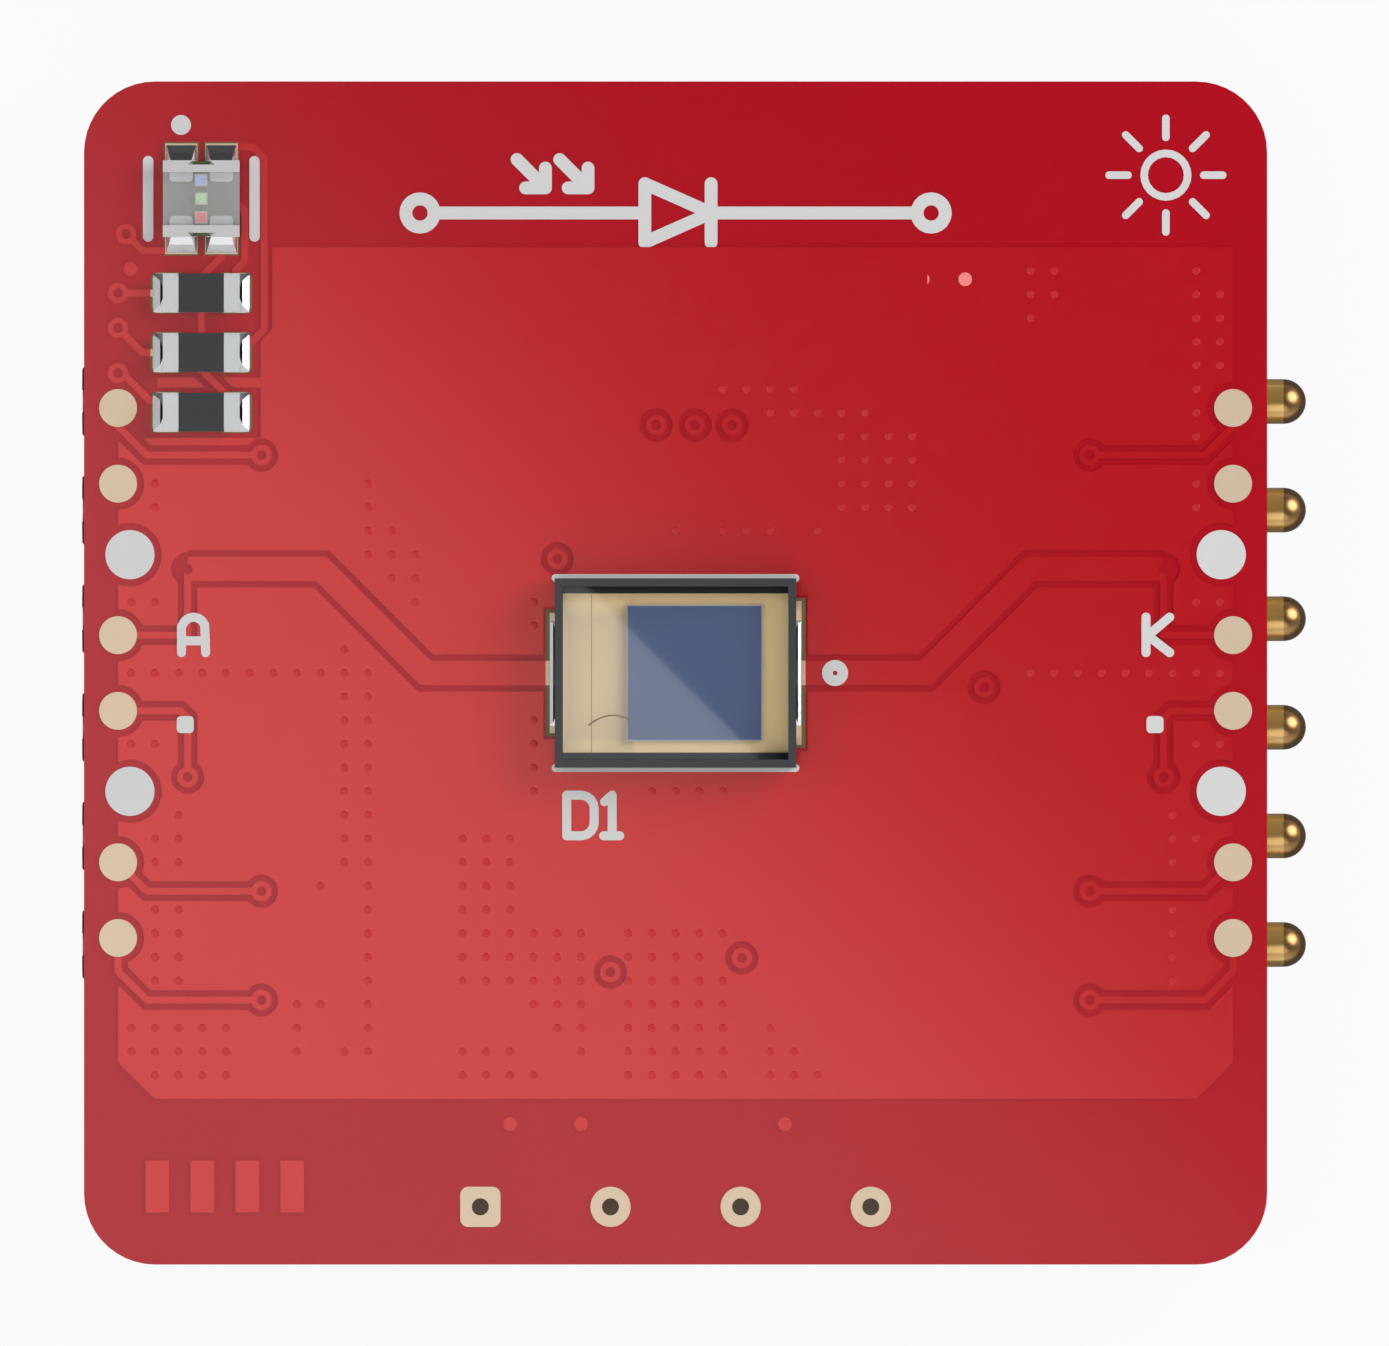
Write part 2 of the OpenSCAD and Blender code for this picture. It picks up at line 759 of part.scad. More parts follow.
module silkscreen_marks() {
    color(silk_white) {
        layer(top_z, silk_t) {
            edge_disc_places()
                circle(d = edge_disc_d);
            translate(led_centre) {
                for (side = sides)
                    translate([side * led_bar_x, 0])
                        round_rect(led_bar_size, led_bar_size[0] / 2 - hair);
                translate(led_dot_offset)
                    circle(d = led_dot_d);
            }
        }
        layer(copper_z, silk_t) {
            for (side = sides)
                translate([0, side * (sensor_d / 2 + outline_show - outline_w / 2)])
                    round_rect([sensor_w + 2 * outline_over, outline_w], outline_w / 2 - hair);
            translate([donut_x, 0])
                difference() {
                    circle(d = donut_d);
                    circle(d = donut_hole_d);
                }
            for (x = key_mark_xs)
                translate([x, key_mark_y])
                    round_rect([key_mark_w, key_mark_w], key_mark_r);
        }
    }
}

module edge_test_pads() {
    color(gold)
        layer(top_z, copper_t)
            edge_pad_places()
                circle(d = edge_pad_d);
}

// One eyelet: a pad on each face and the plated wall between them; the first pad is square
module eyelet(square_pad) {
    difference() {
        union() {
            for (z = [under_z - copper_t, top_z])
                layer(z, copper_t)
                    if (square_pad)
                        round_rect([header_pad_d, header_pad_d], header_pad_corner_r);
                    else
                        circle(d = header_pad_d);
            layer(under_z, board_t)
                circle(d = header_hole_d + 2 * plating_t);
        }
        layer(under_z - cut_over, board_t + 2 * cut_over)
            circle(d = header_hole_d);
    }
}

module plated_holes() {
    color(gold)
        for (n = [1:header_count])
            translate([header_x(n), header_y])
                eyelet(n == 1);
}

// Solder lands

function sensor_land_width(end) = end < 0 ? anode_land_w : cathode_land_w;

module photodiode_lands() {
    color(gold)
        layer(top_z, copper_t)
            for (end = sides)
                translate([end * (sensor_land_x - sensor_land_l / 2), 0])
                    square([sensor_land_l, sensor_land_width(end)], center = true);
}

module led_lands() {
    land_l = led_land_toe + led_land_heel;
    color(gold)
        layer(top_z, copper_t)
            translate(led_centre)
                for (x = sides, y = sides)
                    translate([x * led_land_x, y * (led_land_end - land_l / 2)])
                        square([led_land_w, land_l], center = true);
}

module resistor_lands() {
    land_l = chip_land_toe + chip_land_heel;
    color(gold)
        layer(top_z, copper_t)
            for (n = [1:chip_count], end = sides)
                translate([chip_x + end * (chip_land_x - land_l / 2), chip_y(n)])
                    round_rect([land_l, chip_land_w], chip_land_r);
}

module connector_lands() {
    land_l = tail_foot + tail_land_toe;
    color(gold)
        layer(under_z - copper_t, copper_t)
            for (n = [1:contact_count])
                translate([0, contact_y(n)]) {
                    translate([pin_back_x - land_l / 2, 0])
                        square([land_l, tail_land_w], center = true);
                    translate([land_l / 2 - target_back_x, 0])
                        square([land_l, tail_land_w], center = true);
                }
}

// Photodiode

module photodiode_base() {
    color("#2c2f31")
        layer(sensor_bottom_z, sensor_base_t)
            square([sensor_w - 2 * sensor_terminal_t, sensor_d], center = true);
}

// Plated terminals: a foot under each end of the base, turned up over the end
module photodiode_terminals() {
    color(gold)
        for (end = sides) {
            width = sensor_land_width(end) - 2 * sensor_terminal_margin;
            layer(copper_z, sensor_terminal_t)
                translate([end * (sensor_w - sensor_land_heel) / 2, 0])
                    square([sensor_land_heel, width], center = true);
            layer(sensor_bottom_z, sensor_base_t)
                translate([end * (sensor_w - sensor_terminal_t) / 2, 0])
                    square([sensor_terminal_t, width], center = true);
        }
}

module photodiode_floor() {
    color("#cdb98c")
        layer(sensor_floor_z, floor_t) {
            translate([-cavity_w / 2, -cavity_d / 2])
                square([floor_pad_w, cavity_d]);
            translate([seam_x + floor_seam, -cavity_d / 2])
                square([cavity_w / 2 - seam_x - floor_seam, cavity_d]);
        }
}

module photodiode_die() {
    color("#4d5f85")
        layer(die_z, die_t)
            translate([die_x, 0])
                square(die_w, center = true);
}

// The bond wire leaves the narrow plate, arches up and sideways and lands on the die
module photodiode_bond_wire() {
    foot_z = die_z + bond_wire_d / 2;
    start = [seam_x - bond_foot, bond_start_y, foot_z];
    end = [die_x - die_w / 2 + bond_foot, bond_end_y, foot_z + die_t];
    arch = [0, bond_lean, bond_rise];
    route = [
        for (i = [0:wire_steps])
            let (s = i / wire_steps)
            start + s * (end - start) + 4 * s * (1 - s) * arch
    ];
    color("#8a7440")
        wire(route, bond_wire_d, wire_sides, [0, 1, 0]);
}

// Dark frame round the cavity, with a ledge for the window along both long sides
module photodiode_frame() {
    color(frame_grey)
        difference() {
            layer(sensor_floor_z, sensor_top_z - sensor_floor_z)
                square([sensor_w, sensor_d], center = true);
            layer(sensor_floor_z - cut_over, sensor_h + cut_over)
                square([cavity_w, cavity_d], center = true);
            layer(ledge_z, sensor_h)
                square([cavity_w, pocket_d], center = true);
        }
}

module photodiode_window() {
    color("#dfe8f0", 0.3)
        layer(ledge_z, window_t)
            square([cavity_w - 2 * window_clear, pocket_d - 2 * window_clear], center = true);
}

module photodiode_solder() {
    color(solder_grey)
        for (end = sides) {
            length = sensor_land_toe - land_margin;
            width = min(sensor_solder_w, sensor_land_width(end) - 2 * land_margin);
            translate([end * sensor_w / 2, 0, copper_z])
                rotate([0, 0, end < 0 ? 180 : 0])
                    fillet(length, sensor_fillet_h, width, sensor_fillet_knee, sensor_fillet_lean);
        }
}

// Indicator light

module led_place() {
    translate([led_centre[0], led_centre[1], 0])
        children();
}

module led_base() {
    color("#4a5238")
        led_place()
            layer(copper_z + led_terminal_t, led_base_t)
                square([led_w, led_w - 2 * led_terminal_t], center = true);
}

// Round-ended pad that reaches inwards along Y from the rim bar at the origin, with a root under the bar
module led_inner_pad() {
    straight = led_inner_pad_l - led_inner_pad_r;
    translate([-led_inner_pad_w / 2, -led_inner_pad_l])
        square([led_inner_pad_w, led_inner_pad_l + straight]);
    translate([led_inner_pad_r - led_inner_pad_w / 2, 0])
        square([led_inner_pad_w - 2 * led_inner_pad_r, led_inner_pad_l]);
    for (x = sides)
        translate([x * (led_inner_pad_w / 2 - led_inner_pad_r), straight])
            circle(led_inner_pad_r);
}

// Dovetail notch at the middle of an end, with its mouth at the origin and its depth along Y
module led_notch() {
    polygon([
        [-led_notch_mouth_w / 2, -led_w],
        [-led_notch_mouth_w / 2, 0],
        [-led_notch_w / 2, led_notch_d],
        [led_notch_w / 2, led_notch_d],
        [led_notch_mouth_w / 2, 0],
        [led_notch_mouth_w / 2, -led_w]
    ]);
}

// Four plated terminals, each from a foot over the base's end to a pad beside the dies
module led_terminals() {
    color("#cfd2d3")
        led_place()
            for (x = sides, y = sides)
                translate([x * led_terminal_x, y * led_w / 2, 0])
                    mirror([0, y > 0 ? 1 : 0, 0]) {
                        layer(copper_z, led_terminal_t)
                            translate([-led_terminal_w / 2, 0])
                                square([led_terminal_w, led_land_heel]);
                        layer(copper_z + led_terminal_t, led_base_t)
                            translate([-led_terminal_w / 2, 0])
                                square([led_terminal_w, led_terminal_t]);
                        layer(led_base_top_z, led_terminal_t) {
                            difference() {
                                translate([-led_terminal_w / 2, 0])
                                    square([led_terminal_w, led_rim_d]);
                                translate([-x * led_terminal_x, 0])
                                    led_notch();
                            }
                            translate([0, led_rim_d])
                                led_inner_pad();
                        }
                    }
}

module led_die(offset_y) {
    led_place()
        layer(led_base_top_z, led_die_t)
            translate([0, offset_y])
                square(led_die_w, center = true);
}

module led_die_red() {
    color("#e58f8d")
        led_die(-led_die_pitch);
}

module led_die_green() {
    color("#a8d09c")
        led_die(0);
}

module led_die_blue() {
    color("#93a9d8")
        led_die(led_die_pitch);
}

// One wire from each die to the nearest free terminal pad
module led_bond_wires() {
    die_top = led_base_top_z + led_die_t + led_wire_d / 2;
    pad_top = led_pad_z + led_wire_d / 2;
    pad_y = led_w / 2 - led_rim_d - led_inner_pad_l / 2;
    feet = [[1, 1, led_die_pitch], [-1, -1, 0], [1, -1, -led_die_pitch]];
    color("#c9a94e")
        led_place()
            for (foot = feet) {
                start = [0, foot[2], die_top];
                end = [foot[0] * led_terminal_x, foot[1] * pad_y, pad_top];
                route = [
                    for (i = [0:wire_steps])
                        let (s = i / wire_steps)
                        start + s * (end - start) + [0, 0, 4 * s * (1 - s) * led_die_t / 2]
                ];
                wire(route, led_wire_d, led_wire_sides, [0, 0, 1]);
            }
}

// Pale rim bars over the terminals, with a dovetail notch in the middle of each end
module led_rim() {
    color("#c8c9c8")
        led_place()
            for (y = sides)
                mirror([0, y > 0 ? 1 : 0, 0])
                    difference() {
                        layer(led_base_top_z, led_top_z - led_base_top_z)
                            translate([-led_w / 2, -led_w / 2])
                                square([led_w, led_rim_d]);
                        layer(led_base_top_z - led_h, 2 * led_h)
                            translate([0, -led_w / 2])
                                led_notch();
                        for (x = sides)
                            layer(led_base_top_z - led_terminal_t, 2 * led_terminal_t)
                                translate([x * led_terminal_x - led_terminal_w / 2, -led_w])
                                    square([led_terminal_w, led_w]);
                    }
}

// Clear resin between the rim bars, cast round the dies and the terminal pads
module led_lens() {
    color("#9aa096", 0.6)
        led_place()
            difference() {
                layer(led_base_top_z, led_top_z - led_lens_drop - led_base_top_z)
                    square([led_w, led_lens_d], center = true);
                for (row = [-1, 0, 1])
                    layer(led_base_top_z - led_die_t, 2 * led_die_t)
                        translate([0, row * led_die_pitch])
                            square(led_die_w, center = true);
                for (x = sides, y = sides)
                    layer(led_base_top_z - led_terminal_t, 2 * led_terminal_t)
                        translate([x * led_terminal_x, y * led_lens_d / 2])
                            mirror([0, y > 0 ? 1 : 0, 0])
                                led_inner_pad();
            }
}

module led_solder() {
    width = led_land_w - 2 * land_margin;
    color(solder_grey)
        led_place()
            for (x = sides, y = sides)
                translate([x * led_land_x, y * led_w / 2, copper_z])
                    rotate([0, 0, y * 90])
                        fillet(led_fillet_l, led_fillet_h, width, led_fillet_knee, led_fillet_lean);
}

// Chip resistors

module chip_place(n) {
    translate([chip_x, chip_y(n), copper_z])
        children();
}

module resistor_ceramic(n) {
    color("#e9e6df")
        chip_place(n)
            layer(chip_cap_t, chip_h - 2 * chip_cap_t)
                square([chip_l - 2 * chip_cap_t, chip_w], center = true);
}

// Dark coat over the resistive film, between the end caps
module resistor_coat(n) {
    color("#34383a")
        chip_place(n)
            layer(chip_h - chip_cap_t, chip_coat_t)
                square([chip_l - 2 * chip_cap_l, chip_w], center = true);
}

// Metal caps folded over both ends of the ceramic, narrower on top beside the coat
module resistor_end_caps(n) {
    color("#cfd1d2")
        chip_place(n)
            for (end = sides)
                mirror([end < 0 ? 1 : 0, 0, 0])
                    difference() {
                        translate([chip_l / 2 - chip_cap_l, -chip_w / 2, 0])
                            cube([chip_cap_l, chip_w, chip_h]);
                        translate([0, -chip_w, chip_cap_t])
                            cube([chip_l / 2 - chip_cap_t, 2 * chip_w, chip_h - 2 * chip_cap_t]);
                        for (y = sides)
                            translate([chip_l / 2 - chip_cap_l, y * chip_w / 2, chip_h])
                                cube([chip_cap_l, 2 * chip_cap_inset, 3 * chip_cap_t], center = true);
                    }
}

module resistor_solder(n) {
    color(solder_grey)
        chip_place(n)
            for (end = sides)
                translate([end * chip_l / 2, 0, 0])
                    rotate([0, 0, end < 0 ? 180 : 0])
                        fillet(chip_fillet_l, chip_fillet_h, chip_w, chip_fillet_knee, chip_fillet_lean);
}

// Connectors

module contact_places() {
    for (n = [1:contact_count])
        translate([0, contact_y(n), axis_z])
            children();
}

// Cylinder along X, from x0 to x1 on the axis
module rod(x0, x1, d) {
    translate([x0, 0, 0])
        rotate([0, 90, 0])
            cylinder(d = d, h = x1 - x0);
}

// Solder tail behind a contact: up the housing's back, then a foot along the board, for a back face at X = x
module tail(x) {
    rise = under_z - copper_t - axis_z;
    translate([x - tail_t, -tail_w / 2, -tail_w / 2])
        cube([tail_t, tail_w, rise + tail_w / 2]);
    translate([x - tail_foot, -tail_w / 2, rise - tail_t])
        cube([tail_foot, tail_w, tail_t]);
}

// Moulded bar from X = x0 to x1, chamfered along its lower edges
module housing_bar(x0, x1) {
    rotate([90, 0, 0])
        linear_extrude(housing_l, center = true)
            polygon([
                [x0, housing_chamfer],
                [x0 + housing_chamfer, 0],
                [x1 - housing_chamfer, 0],
                [x1, housing_chamfer],
                [x1, housing_h],
                [x0, housing_h]
            ]);
}

module spring_pin_housing() {
    color(housing_black)
        difference() {
            housing_bar(pin_back_x, pin_front_x);
            contact_places()
                rod(pin_back_x - cut_over, pin_front_x + cut_over, barrel_d + 2 * barrel_clear);
        }
}

module spring_pin_barrels() {
    color(pin_gold)
        contact_places()
            difference() {
                union() {
                    rod(pin_back_x, pin_front_x, barrel_d);
                    tail(pin_back_x);
                }
                rod(bore_back_x, lip_x, bore_d);
                rod(lip_x - barrel_lip, pin_front_x + cut_over, pin_d + 2 * pin_clear);
            }
}

// Round-nosed plunger with its collar behind the barrel's lip and a spigot inside the spring
module plunger(n) {
    color(pin_gold)
        translate([0, contact_y(n), axis_z]) {
            translate([nose_x, 0, 0])
                sphere(d = pin_d);
            rod(collar_back_x, nose_x, pin_d);
            rod(collar_back_x, collar_front_x, collar_d);
            rod(collar_back_x - spigot_l, collar_back_x, spigot_d);
        }
}

// Distance along the spring after a number of turns: closed coils at both ends, even pitch between
function spring_run(turn) =
    let (
        closed = spring_end_turns * spring_wire_d * closed_coil_pitch,
        open = spring_l - spring_wire_d - 2 * closed,
        middle = min(max(turn - spring_end_turns, 0), spring_turns),
        ends = min(turn, spring_end_turns) + max(turn - spring_end_turns - spring_turns, 0)
    )
    spring_wire_d / 2 + ends / spring_end_turns * closed + middle / spring_turns * open;

// Compression spring between the barrel's back and the plunger's collar
module spring(n) {
    total = spring_turns + 2 * spring_end_turns;
    route = [
        for (i = [0:total * spring_steps])
            let (turn = i / spring_steps)
            [spring_run(turn), spring_d / 2 * cos(360 * turn), spring_d / 2 * sin(360 * turn)]
    ];
    color("#b9bcbe")
        translate([bore_back_x, contact_y(n), axis_z])
            wire(route, spring_wire_d, spring_sides, [1, 0, 0]);
}

module target_housing() {
    color(housing_black)
        difference() {
            union() {
                housing_bar(-target_front_x, -target_back_x);
                contact_places() {
                    rod(boss_chamfer - boss_x, -target_front_x, boss_d);
                    translate([-boss_x, 0, 0])
                        rotate([0, 90, 0])
                            cylinder(d1 = boss_d - 2 * boss_chamfer, d2 = boss_d, h = boss_chamfer);
                }
            }
            contact_places() {
                rod(-boss_x - cut_over, cut_over - target_back_x, contact_d + 2 * contact_clear);
                translate([-boss_x - cut_over, -boss_notch_w / 2, 0])
                    cube([boss_x + cut_over - target_front_x, boss_notch_w, boss_d]);
            }
        }
}

// Flat-faced target contacts, each with a solder tail behind the housing
module target_contacts() {
    color(gold)
        contact_places()
            mirror([1, 0, 0]) {
                rod(target_back_x, contact_face_x, contact_d);
                tail(target_back_x);
            }
}

module connector_solder() {
    color(solder_grey)
        for (n = [1:contact_count])
            translate([0, contact_y(n), under_z - copper_t]) {
                translate([pin_back_x - tail_foot, 0, 0])
                    rotate([180, 0, 180])
                        fillet(tail_fillet_l, tail_t, tail_w, tail_fillet_knee, tail_fillet_lean);
                translate([tail_foot - target_back_x, 0, 0])
                    rotate([180, 0, 0])
                        fillet(tail_fillet_l, tail_t, tail_w, tail_fillet_knee, tail_fillet_lean);
            }
}

circuit_board();
copper_pour();
copper_traces();
silkscreen_marks();
edge_test_pads();
plated_holes();
photodiode_lands();
led_lands();
resistor_lands();
connector_lands();
photodiode_base();
photodiode_terminals();
photodiode_floor();
photodiode_die();
photodiode_bond_wire();
photodiode_frame();
photodiode_window();
photodiode_solder();
led_base();
led_terminals();
led_die_red();
led_die_green();
led_die_blue();
led_bond_wires();
led_rim();
led_lens();
led_solder();
for (n = [1:chip_count]) {
    resistor_ceramic(n);
    resistor_coat(n);
    resistor_end_caps(n);
    resistor_solder(n);
}
spring_pin_housing();
spring_pin_barrels();
for (n = [1:contact_count]) {
    plunger(n);
    spring(n);
}
target_housing();
target_contacts();
connector_solder();
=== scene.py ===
"""Looks of the photodiode sensor module: finishes, printed signs, vias, resin, springs and a studio.

All sizes are millimetres unless a name or a docstring says otherwise; MM turns them into the frame's metres.
"""

from __future__ import annotations

import json
import logging
import math
from collections.abc import Iterable, Sequence
from dataclasses import dataclass, field
from enum import Enum

import bmesh
import bpy
from mathutils import Matrix, Vector

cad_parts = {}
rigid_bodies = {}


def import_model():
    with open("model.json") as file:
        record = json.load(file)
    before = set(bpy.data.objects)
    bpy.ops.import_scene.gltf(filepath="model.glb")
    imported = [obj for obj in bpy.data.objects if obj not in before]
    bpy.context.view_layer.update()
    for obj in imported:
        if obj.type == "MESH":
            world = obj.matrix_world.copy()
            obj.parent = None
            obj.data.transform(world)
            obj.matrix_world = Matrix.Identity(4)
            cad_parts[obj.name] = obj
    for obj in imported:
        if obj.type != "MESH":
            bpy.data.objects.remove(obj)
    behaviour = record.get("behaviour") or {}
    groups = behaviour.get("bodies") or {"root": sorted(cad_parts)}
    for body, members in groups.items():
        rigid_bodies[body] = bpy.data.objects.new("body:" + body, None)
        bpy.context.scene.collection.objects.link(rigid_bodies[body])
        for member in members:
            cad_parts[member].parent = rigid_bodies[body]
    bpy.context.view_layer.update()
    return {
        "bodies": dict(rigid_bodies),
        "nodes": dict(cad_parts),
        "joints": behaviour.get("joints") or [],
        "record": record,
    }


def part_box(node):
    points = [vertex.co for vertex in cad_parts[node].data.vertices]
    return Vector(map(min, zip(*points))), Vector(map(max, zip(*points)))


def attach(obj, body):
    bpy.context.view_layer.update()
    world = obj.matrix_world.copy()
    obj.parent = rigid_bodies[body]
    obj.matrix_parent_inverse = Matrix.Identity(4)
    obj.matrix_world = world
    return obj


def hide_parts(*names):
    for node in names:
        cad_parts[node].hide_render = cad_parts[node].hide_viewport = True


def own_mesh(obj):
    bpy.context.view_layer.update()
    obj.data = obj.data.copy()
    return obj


MM = 0.001
MICRON = 0.000001
WELD = MICRON / 10
ROOT_BODY = "module"
PIN_COUNT = 6
CHIP_COUNT = 3
# A wave texture of scale 1 has this many bands in a length of 2 pi
WAVE_BANDS = 20

Point = tuple[float, float]
Colour = tuple[float, float, float]
Tree = bpy.types.NodeTree
Socket = bpy.types.NodeSocket
Form = bmesh.types.BMesh

log = logging.getLogger("sensor_module")


class Sheen(Enum):
    """Named degrees of gloss, as the shader's roughness."""

    MIRROR = 0.02
    POLISHED = 0.16
    SATIN = 0.22
    BRUSHED = 0.3
    SOFT = 0.4
    MATT = 0.55
    DULL = 0.75


def linear(colour: Sequence[float]) -> tuple[float, float, float, float]:
    """Turn a screen colour of 0 to 255 into the linear colour that a shader takes.

    Args:
        colour: Red, green and blue as they look on screen in plain light.

    Returns:
        Linear red, green and blue, with an alpha of 1.
    """
    shares = [channel / 255 for channel in colour]
    steps = [s / 12.92 if s <= 0.04045 else ((s + 0.055) / 1.055) ** 2.4 for s in shares]
    return (steps[0], steps[1], steps[2], 1.0)


def numbered(pattern: str, count: int) -> tuple[str, ...]:
    """Return the names of pieces that are numbered from 1."""
    return tuple(pattern.format(n) for n in range(1, count + 1))


def feed(tree: Tree, node: bpy.types.Node, values: dict[str | int, object]) -> None:
    """Give a node's inputs their values.

    Args:
        tree: The nodes to build in.
        node: The node to feed.
        values: By the input's name or number: a socket to link, a screen colour as a tuple, or a constant.
    """
    for name, value in values.items():
        if isinstance(value, Socket):
            tree.links.new(value, node.inputs[name])
        else:
            node.inputs[name].default_value = linear(value) if isinstance(value, tuple) else value


def made(tree: Tree, kind: str, values: dict[str | int, object], **settings: object) -> bpy.types.Node:
    """Make a node, set it up and feed its inputs.

    Args:
        tree: The nodes to build in.
        kind: The node's type.
        values: The inputs' values, as for feed.
        settings: The node's own settings.

    Returns:
        The node.
    """
    node = tree.nodes.new(kind)
    for name, value in settings.items():
        setattr(node, name, value)
    feed(tree, node, values)
    return node


def joined(tree: Tree, operation: str, *values: Socket | float) -> Socket:
    """Join sockets and constants by a Math node."""
    return made(tree, "ShaderNodeMath", dict(enumerate(values)), operation=operation).outputs[0]


def blended(
    tree: Tree, share: Socket | float, first: Socket | Colour, second: Socket | Colour, kind: str = "MIX"
) -> Socket:
    """Blend two colours.

    Args:
        tree: The nodes to build in.
        share: How much of the second colour shows.
        first: The colour to start from.
        second: The colour to blend in.
        kind: The Mix node's way of blending.

    Returns:
        The socket of the blend.
    """
    values = {"Factor": share, "A": first, "B": second}
    return made(tree, "ShaderNodeMix", values, data_type="RGBA", blend_type=kind).outputs["Result"]


def shader_mix(tree: Tree, share: Socket, first: Socket, second: Socket) -> Socket:
    """Mix two shaders by the second one's share."""
    return made(tree, "ShaderNodeMixShader", {0: share, 1: first, 2: second}).outputs["Shader"]


def coordinate(tree: Tree, vector: Socket, axis: str) -> Socket:
    """Return one coordinate of a vector."""
    return made(tree, "ShaderNodeSeparateXYZ", {0: vector}).outputs[axis]


def give_sockets(tree: Tree, inputs: dict[str, str], outputs: dict[str, str]) -> None:
    """Give a node group its named sockets.

    Args:
        tree: The node group.
        inputs: Input names and their kinds.
        outputs: Output names and their kinds.
    """
    for direction, sockets in (("INPUT", inputs), ("OUTPUT", outputs)):
        for name, kind in sockets.items():
            tree.interface.new_socket(name=name, in_out=direction, socket_type=f"NodeSocket{kind}")


def new_material(name: str) -> tuple[bpy.types.Material, Tree, bpy.types.Node]:
    """Make a material.

    Args:
        name: The material's name.

    Returns:
        The material, its nodes and its shader.
    """
    material = bpy.data.materials.new(name)
    material.use_nodes = True
    return material, material.node_tree, material.node_tree.nodes["Principled BSDF"]


class ShaderKit:
    """Shader node groups that several finishes share."""

    fine_detail = 4.0
    broad_detail = 2.0
    broad_scale = 0.12

    def __init__(self) -> None:
        """Build each group once."""
        self.grain = self._grain_group()
        self.box = self._box_group()

    def _grain_group(self) -> Tree:
        """Build the fine grain: a mottled colour, an uneven roughness and a height for bump.

        Returns:
            The node group.
        """
        tree = bpy.data.node_groups.new("fine_grain", "ShaderNodeTree")
        give_sockets(
            tree,
            {
                "Vector": "Vector",
                "Colour": "Color",
                "Scale": "Float",
                "Mottle": "Float",
                "Roughness": "Float",
                "Unevenness": "Float",
            },
            {"Colour": "Color", "Roughness": "Float", "Height": "Float"},
        )
        given = tree.nodes.new("NodeGroupInput").outputs
        slower = joined(tree, "MULTIPLY", given["Scale"], self.broad_scale)
        fine = self._noise(tree, given["Vector"], given["Scale"], self.fine_detail)
        broad = self._noise(tree, given["Vector"], slower, self.broad_detail)
        shade = self._spread(tree, broad, given["Mottle"], 1.0)
        made(
            tree,
            "NodeGroupOutput",
            {
                "Colour": blended(tree, 1.0, given["Colour"], shade, "MULTIPLY"),
                "Roughness": self._spread(tree, fine, given["Unevenness"], given["Roughness"]),
                "Height": fine,
            },
        )
        return tree

    @staticmethod
    def _noise(tree: Tree, place: Socket, scale: Socket, detail: float) -> Socket:
        """Return a noise pattern of 0 to 1."""
        values = {"Vector": place, "Scale": scale, "Detail": detail}
        return made(tree, "ShaderNodeTexNoise", values).outputs["Fac"]

    @staticmethod
    def _spread(tree: Tree, value: Socket, amount: Socket, base: Socket | float) -> Socket:
        """Spread a 0 to 1 pattern evenly round a base, by an amount."""
        centred = joined(tree, "SUBTRACT", value, 0.5)
        return joined(tree, "MULTIPLY_ADD", centred, amount, base)

    def _box_group(self) -> Tree:
        """Build the mask of what lies outside an upright box: 0 in the box, rising to 1 past its edge.

        Returns:
            The node group.
        """
        tree = bpy.data.node_groups.new("outside_box", "ShaderNodeTree")
        give_sockets(
            tree,
            {"Vector": "Vector", "Centre": "Vector", "Half": "Vector", "Fade": "Float"},
            {"Mask": "Float"},
        )
        given = tree.nodes.new("NodeGroupInput").outputs
        place = given["Vector"]
        for operation, others in (("SUBTRACT", ("Centre",)), ("DIVIDE", ("Half",)), ("ABSOLUTE", ())):
            values = dict(enumerate((place, *(given[other] for other in others))))
            place = made(tree, "ShaderNodeVectorMath", values, operation=operation).outputs[0]
        reach = joined(tree, "MAXIMUM", coordinate(tree, place, "X"), coordinate(tree, place, "Y"))
        limit = joined(tree, "ADD", given["Fade"], 1.0)
        edge = made(tree, "ShaderNodeMapRange", {"Value": reach, "From Min": 1.0, "From Max": limit})
        made(tree, "NodeGroupOutput", {"Mask": edge.outputs["Result"]})
        return tree

    def outside_box(self, tree: Tree, place: Socket, centre: Point, half: Point, fade: float) -> Socket:
        """Use the mask of what lies outside a box in a material.

        Args:
            tree: The material's nodes.
            place: Object coordinates.
            centre: The box's middle.
            half: Half its size along X and Y.
            fade: Width of its edge, as a share of the half size.

        Returns:
            The socket of the mask.
        """
        values = {
            "Vector": place,
            "Centre": Vector((centre[0] * MM, centre[1] * MM, 0)),
            "Half": Vector((half[0] * MM, half[1] * MM, 1)),
            "Fade": fade,
        }
        return made(tree, "ShaderNodeGroup", values, node_tree=self.box).outputs["Mask"]


@dataclass(frozen=True)
class Bench:
    """What a finish builds with: its material's nodes, the shared groups and the object coordinates."""

    tree: Tree
    kit: ShaderKit
    place: Socket


